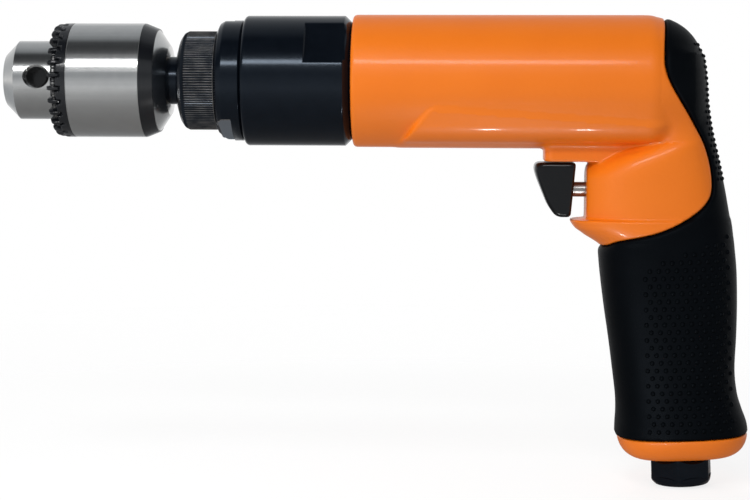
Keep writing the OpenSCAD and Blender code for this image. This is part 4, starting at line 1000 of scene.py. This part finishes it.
# Chuck sleeve: key ring with its gaps, groove behind it, bevel at the back, bore with a narrower tail
TEETH = 26
FIRST_GAP = 265
GAP_DEPTH = 1.5
GAP_HALF = 2.55
GAP_LEN = 4.6
RING_FACE_R = 12.95
SLEEVE_HOLE_R = 12.6
SLEEVE_LIP_X = 17.05
SLEEVE_BORE_R = 16.2
SLEEVE_TAIL_X = 39.7
SLEEVE_TAIL_R = 15.95
GROOVE_DEPTH = 0.15

# Angles round the sleeve: close steps over each gap, in half gaps, and two on the tooth beside it, in degrees
half_steps = np.array([0.3, 0.6, 0.8, 1.0, 1.15, 1.35]) * GAP_HALF
gap_angles = np.concatenate([-half_steps, [0], half_steps, [4.9, 6.92]])
tooth_angles = [(FIRST_GAP + 360 * k / TEETH + gap_angles) % 360 for k in range(TEETH)]
tooth_angles = np.sort(np.concatenate(tooth_angles))


def key_teeth(x, r, angles):
    """Gaps for the chuck key in the sloping front of the sleeve."""
    away = (angles - FIRST_GAP + 180 / TEETH) % (360 / TEETH) - 180 / TEETH
    part = np.abs(away) / GAP_HALF
    gap = np.clip((1.08 - part) / 0.5, 0, 1)
    depth = GAP_DEPTH * (1 - (1 - gap) ** 2)
    there = (r > RING_FACE_R - 0.05) & (x < SLEEVE_X + GAP_LEN)
    ease = np.clip((SLEEVE_X + GAP_LEN - x) / 1.4, 0, 1)
    return np.where(there, -depth * ease, 0)


sleeve_outline = rounded([
    (SLEEVE_X, SLEEVE_HOLE_R, 0.1), (SLEEVE_X + 0.2, RING_FACE_R, 0.1), (SLEEVE_X + 3, SLEEVE_R, 0.5),
    (RING_END, SLEEVE_R, INNER), (RING_END + 0.05, SLEEVE_R - GROOVE_DEPTH, 0.03),
    (RING_END + 0.25, SLEEVE_R - GROOVE_DEPTH, 0.03), (RING_END + 0.3, SLEEVE_R, INNER),
    (SLEEVE_BACK - SLEEVE_BEVEL, SLEEVE_R, 3), (SLEEVE_BACK, SLEEVE_BORE_R + 0.05, 0.5),
    (SLEEVE_BACK, SLEEVE_TAIL_R, 0.1), (SLEEVE_TAIL_X, SLEEVE_TAIL_R, INNER),
    (SLEEVE_TAIL_X, SLEEVE_BORE_R, INNER), (SLEEVE_LIP_X, SLEEVE_BORE_R, INNER),
    (SLEEVE_LIP_X, SLEEVE_HOLE_R, 0.1)])
sleeve_rows = SLEEVE_X + np.array([0.9, 1.6, 2.3, 2.6, 3.4, 3.8, 4.2, GAP_LEN, 12.3, 20.3])
sleeve_outline = with_rows(sleeve_outline, sleeve_rows)
sleeve = turned("chuck_sleeve_shell", sleeve_outline, tooth_angles, key_teeth)
dress(sleeve, "chuck_sleeve", "sleeve_steel", "chuck_sleeve")


# Inlet bush: shank in the grip with a seat at its top, hexagon below the base cap, threaded bore
INLET_TOP = 99
INLET_END = BASE_BOTTOM + 8.8
INLET_BORE_R = 4.4
SEAT_DEPTH = 1.5
HEX_HALF = 9.0
HEX_R = HEX_HALF / math.cos(math.radians(30))
HEX_TURN = 19
HEX_BEVEL = 2
THREAD_R = 5.6
THREAD_LEAD = 0.8
THREAD_DEPTH = 0.5
THREAD_PITCH = 1.4
THREAD_TOP = INLET_END - 14
THREAD_END = INLET_END - 0.9


def hexagon_and_thread(x, r, angles):
    """Flats of the inlet hexagon, and the thread in its bore."""
    from_flat = (angles - HEX_TURN) % 60 - 30
    flat = HEX_HALF / np.cos(np.radians(from_flat))
    hexagon = np.where(r > SHANK_R + 0.1, soft_min(r + 0 * flat, flat, 0.3) - r, 0)
    wave = np.abs(((x / THREAD_PITCH + angles / 360) % 1) * 2 - 1)
    threaded = (r < THREAD_R + 0.1) & (x > THREAD_TOP) & (x < THREAD_END)
    return np.where(threaded, THREAD_DEPTH * wave, hexagon)


inlet_outline = rounded([
    (INLET_TOP, THREAD_R, 0.1), (INLET_TOP, SHANK_R, 0.1),
    (BASE_BOTTOM, SHANK_R, INNER), (BASE_BOTTOM, HEX_R, 0.1),
    (INLET_END - HEX_BEVEL, HEX_R, 0.3), (INLET_END, HEX_R - HEX_BEVEL, 0.3),
    (INLET_END, THREAD_R + THREAD_LEAD, 0.2), (INLET_END - THREAD_LEAD, THREAD_R, 0.1),
    (THREAD_TOP - 1, THREAD_R, INNER), (THREAD_TOP - 1, INLET_BORE_R, 0.1),
    (INLET_TOP + SEAT_DEPTH, INLET_BORE_R, 0.1), (INLET_TOP + SEAT_DEPTH, THREAD_R, INNER)])
inlet_outline = with_rows(inlet_outline, np.arange(THREAD_TOP, THREAD_END, THREAD_PITCH / 6))
inlet = turned("inlet_bush", inlet_outline, np.arange(0, 360, 3.0), hexagon_and_thread, grip_place)
dress(inlet, "housing", "black_oxide", "inlet_bushing")


# Valve spring, squeezed between the stem and the plug

SPRING_WIRE = 0.35
SPRING_TURNS = 5
SPRING_STEPS = 24
SPRING_SIDES = 8
spring_low, spring_high = corners("valve_spring")


def coil(name):
    """Closed wire wound about the valve axis."""
    far = spring_high[1] - SPRING_WIRE
    turn = np.linspace(0, 2 * math.pi * SPRING_TURNS, SPRING_TURNS * SPRING_STEPS + 1)[:, None]
    side = np.arange(SPRING_SIDES)[None, :] * 2 * math.pi / SPRING_SIDES
    middle = np.interp(turn, (0, turn[-1, 0]), (spring_low[0] + SPRING_WIRE, spring_high[0] - SPRING_WIRE))
    reach = far + SPRING_WIRE * np.cos(side)
    points = np.stack([middle + SPRING_WIRE * np.sin(side), reach * np.sin(turn),
                       reach * np.cos(turn) - VALVE_DROP], -1)
    normals = np.stack([np.sin(side) + 0 * turn, np.cos(side) * np.sin(turn),
                        np.cos(side) * np.cos(turn)], -1)
    k, i = np.meshgrid(np.arange(len(turn) - 1), np.arange(SPRING_SIDES), indexing="ij")
    a, b = k * SPRING_SIDES + i, k * SPRING_SIDES + (i + 1) % SPRING_SIDES
    faces = np.stack([a, b, b + SPRING_SIDES, a + SPRING_SIDES], -1).reshape(-1, 4).tolist()
    last = (len(turn) - 1) * SPRING_SIDES
    faces.append([last + n for n in range(SPRING_SIDES)])
    faces.append([SPRING_SIDES - 1 - n for n in range(SPRING_SIDES)])
    return add_mesh(name, points.reshape(-1, 3), faces, normals.reshape(-1, 3))


spring = coil("spring_coil")
spring.data.materials.append(MATERIALS[SLOT_OF["valve_spring"]])
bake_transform(spring)
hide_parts("valve_spring")


# Stage, light and camera

# Floor, in metres: half span, middle, gap below the object, and where it fades to clear
SPAN = 3.0
FLOOR_X = 0.117
FLOOR_GAP = 0.0002
FLOOR_Z = corners("inlet_bushing")[0][2] * MM - FLOOR_GAP
FADE_START, FADE_END = 0.06, 0.5
# Its grey, and the glow that the camera sees and that falls on the object
FLOOR_GREY = 0.28
LIFT = 0.78
BOUNCE = 0.52

floor_corners = [(-SPAN, -SPAN, 0), (SPAN, -SPAN, 0), (SPAN, SPAN, 0), (-SPAN, SPAN, 0)]
floor_mesh = bpy.data.meshes.new("floor")
floor_mesh.from_pydata(floor_corners, [], [(0, 1, 2, 3)])
floor = bpy.data.objects.new("floor", floor_mesh)
floor.location = (FLOOR_X, 0, FLOOR_Z)
bpy.context.scene.collection.objects.link(floor)


def floor_material():
    """Pale floor that fades into the white surroundings, and is clear from below."""
    mat, tree, shader = new_material("floor")
    shader.inputs["Base Color"].default_value = (FLOOR_GREY, FLOOR_GREY, FLOOR_GREY, 1)
    shader.inputs["Roughness"].default_value = 0.9
    shader.inputs["Specular IOR Level"].default_value = 0.1
    rays = node(tree, "LightPath")
    plain = between(tree, rays.outputs["Is Glossy Ray"], BOUNCE, 0)
    seen = between(tree, rays.outputs["Is Camera Ray"], 0, LIFT - BOUNCE)
    lift = node(tree, "Emission", {"Strength": node(tree, "Math", {0: seen, 1: plain}).outputs[0]})
    lifted = node(tree, "AddShader", {0: shader.outputs[0], 1: lift.outputs[0]})
    distance = node(tree, "VectorMath", {0: place_of(tree)}, operation="LENGTH").outputs["Value"]
    fade = between(tree, distance, 0, 1, FADE_START, FADE_END)
    below = node(tree, "NewGeometry").outputs["Backfacing"]
    gone = node(tree, "Math", {0: fade, 1: below}, operation="MAXIMUM").outputs[0]
    clear = node(tree, "BsdfTransparent").outputs[0]
    mix = node(tree, "MixShader", {0: gone, 1: lifted.outputs[0], 2: clear})
    tree.links.new(mix.outputs[0], tree.nodes["Material Output"].inputs["Surface"])
    return mat


floor_mesh.materials.append(floor_material())

# Surroundings: what shiny pieces show at an angle up from the photo's side over the top, and the soft light
STOPS = [(-180, 1.0), (-150, 0.5), (-98, 0.2), (-66, 0.36), (-39, 0.6), (-14, 0.72), (0, 0.55), (12, 0.34),
         (24, 0.5), (44, 0.44), (50, 0.06), (80, 0.04), (92, 0.3), (112, 0.46), (140, 0.56), (180, 1.0)]
STOP_TINT = 0.08
SOFT_LIGHT = (0.275, 0.275, 0.275)
WHITE = (1, 1, 1)


def light_stops(tree):
    """Colour of the surroundings in each direction, from the stops."""
    way = node(tree, "SeparateXYZ", {"Vector": node(tree, "TexCoord").outputs["Generated"]})
    ahead = node(tree, "Math", {0: way.outputs[1], 1: -1.0}, operation="MULTIPLY").outputs[0]
    turn = node(tree, "Math", {0: way.outputs[2], 1: ahead}, operation="ARCTAN2").outputs[0]
    ramp = node(tree, "ValToRGB", {"Fac": between(tree, turn, 0, 1, -math.pi, math.pi)})
    elements = ramp.color_ramp.elements
    elements.remove(elements[0])
    for k, (angle, level) in enumerate(STOPS):
        place = (angle + 180) / 360
        stop = elements[0] if k == 0 else elements.new(place)
        stop.position = place
        cool = STOP_TINT * (1 - level)
        stop.color = (level * (1 - cool), level, level * (1 + cool), 1)
    return ramp.outputs[0]


def studio_world():
    """Soft light, the stops for shiny pieces, and white for the camera and through clear pieces."""
    world = bpy.data.worlds.new("studio")
    world.use_nodes = True
    tree = world.node_tree
    background = tree.nodes["Background"]
    rays = node(tree, "LightPath")
    lit = mixed(tree, rays.outputs["Is Glossy Ray"], SOFT_LIGHT, light_stops(tree))
    seen = mixed(tree, rays.outputs["Is Camera Ray"], lit, WHITE)
    seen = mixed(tree, rays.outputs["Is Transmission Ray"], seen, WHITE)
    tree.links.new(seen, background.inputs["Color"])
    background.inputs["Strength"].default_value = 1.0
    return world


bpy.context.scene.world = studio_world()


def area_light(name, place, aim, width, height, power):
    """Soft light at a place, turned to a point, in millimetres."""
    data = bpy.data.lights.new(name, "AREA")
    data.shape = "RECTANGLE"
    data.size = width * MM
    data.size_y = height * MM
    data.energy = power
    obj = bpy.data.objects.new(name, data)
    obj.location = Vector(place) * MM
    obj.rotation_euler = (Vector(aim) - Vector(place)).to_track_quat("-Z", "Y").to_euler()
    obj.visible_camera = False
    bpy.context.scene.collection.objects.link(obj)
    return obj


# Lights: place, aim, width, height, power in watts
area_light("key", (20, -820, 530), (90, 0, 0), 520, 110, 2.7)

# These give soft light, and no reflection of their own
SOFT_LIGHTS = [
    ("high", (-20, -480, 680), (130, 0, -20), 200, 200, 1.3),
    ("fill", (-100, -330, 40), (130, 0, -30), 260, 260, 0.6),
    ("rear", (130, 620, 330), (130, 0, -30), 420, 200, 1.3)]
for settings in SOFT_LIGHTS:
    area_light(*settings).visible_glossy = False

# These give small bright reflections on the belly, and no soft light
GLINTS = [
    ("glint_left", (154, -88, -118), (150, -15, -15), 5, 4, 0.032),
    ("glint_middle", (190, -88, -118), (186, -15, -15), 5, 4, 0.024)]
for settings in GLINTS:
    area_light(*settings).visible_diffuse = False

# Camera: fitted to the photograph's viewing point and turned to its frame
EYE = (146.2, -587.2, -3.8)
PAN, TILT, ROLL = -0.0499, -0.0844, 0.0032
FOCAL_PIXELS, FRAME_WIDTH = 1853.9, 750
SENSOR_WIDTH = 36

camera_data = bpy.data.cameras.new("camera")
camera_data.sensor_width = SENSOR_WIDTH
camera_data.lens = SENSOR_WIDTH * FOCAL_PIXELS / FRAME_WIDTH
camera_data.clip_start = 0.01
camera = bpy.data.objects.new("camera", camera_data)
forward = Vector((math.sin(PAN) * math.cos(TILT), math.cos(PAN) * math.cos(TILT), math.sin(TILT)))
right = Vector((math.cos(PAN), -math.sin(PAN), 0))
up = right.cross(forward)
side = right * math.cos(ROLL) + up * math.sin(ROLL)
head = up * math.cos(ROLL) - right * math.sin(ROLL)
turn = Matrix((side, head, -forward)).transposed().to_4x4()
camera.matrix_world = Matrix.Translation(Vector(EYE) * MM) @ turn
bpy.context.scene.collection.objects.link(camera)
bpy.context.scene.camera = camera
bpy.context.scene.view_settings.view_transform = "Standard"
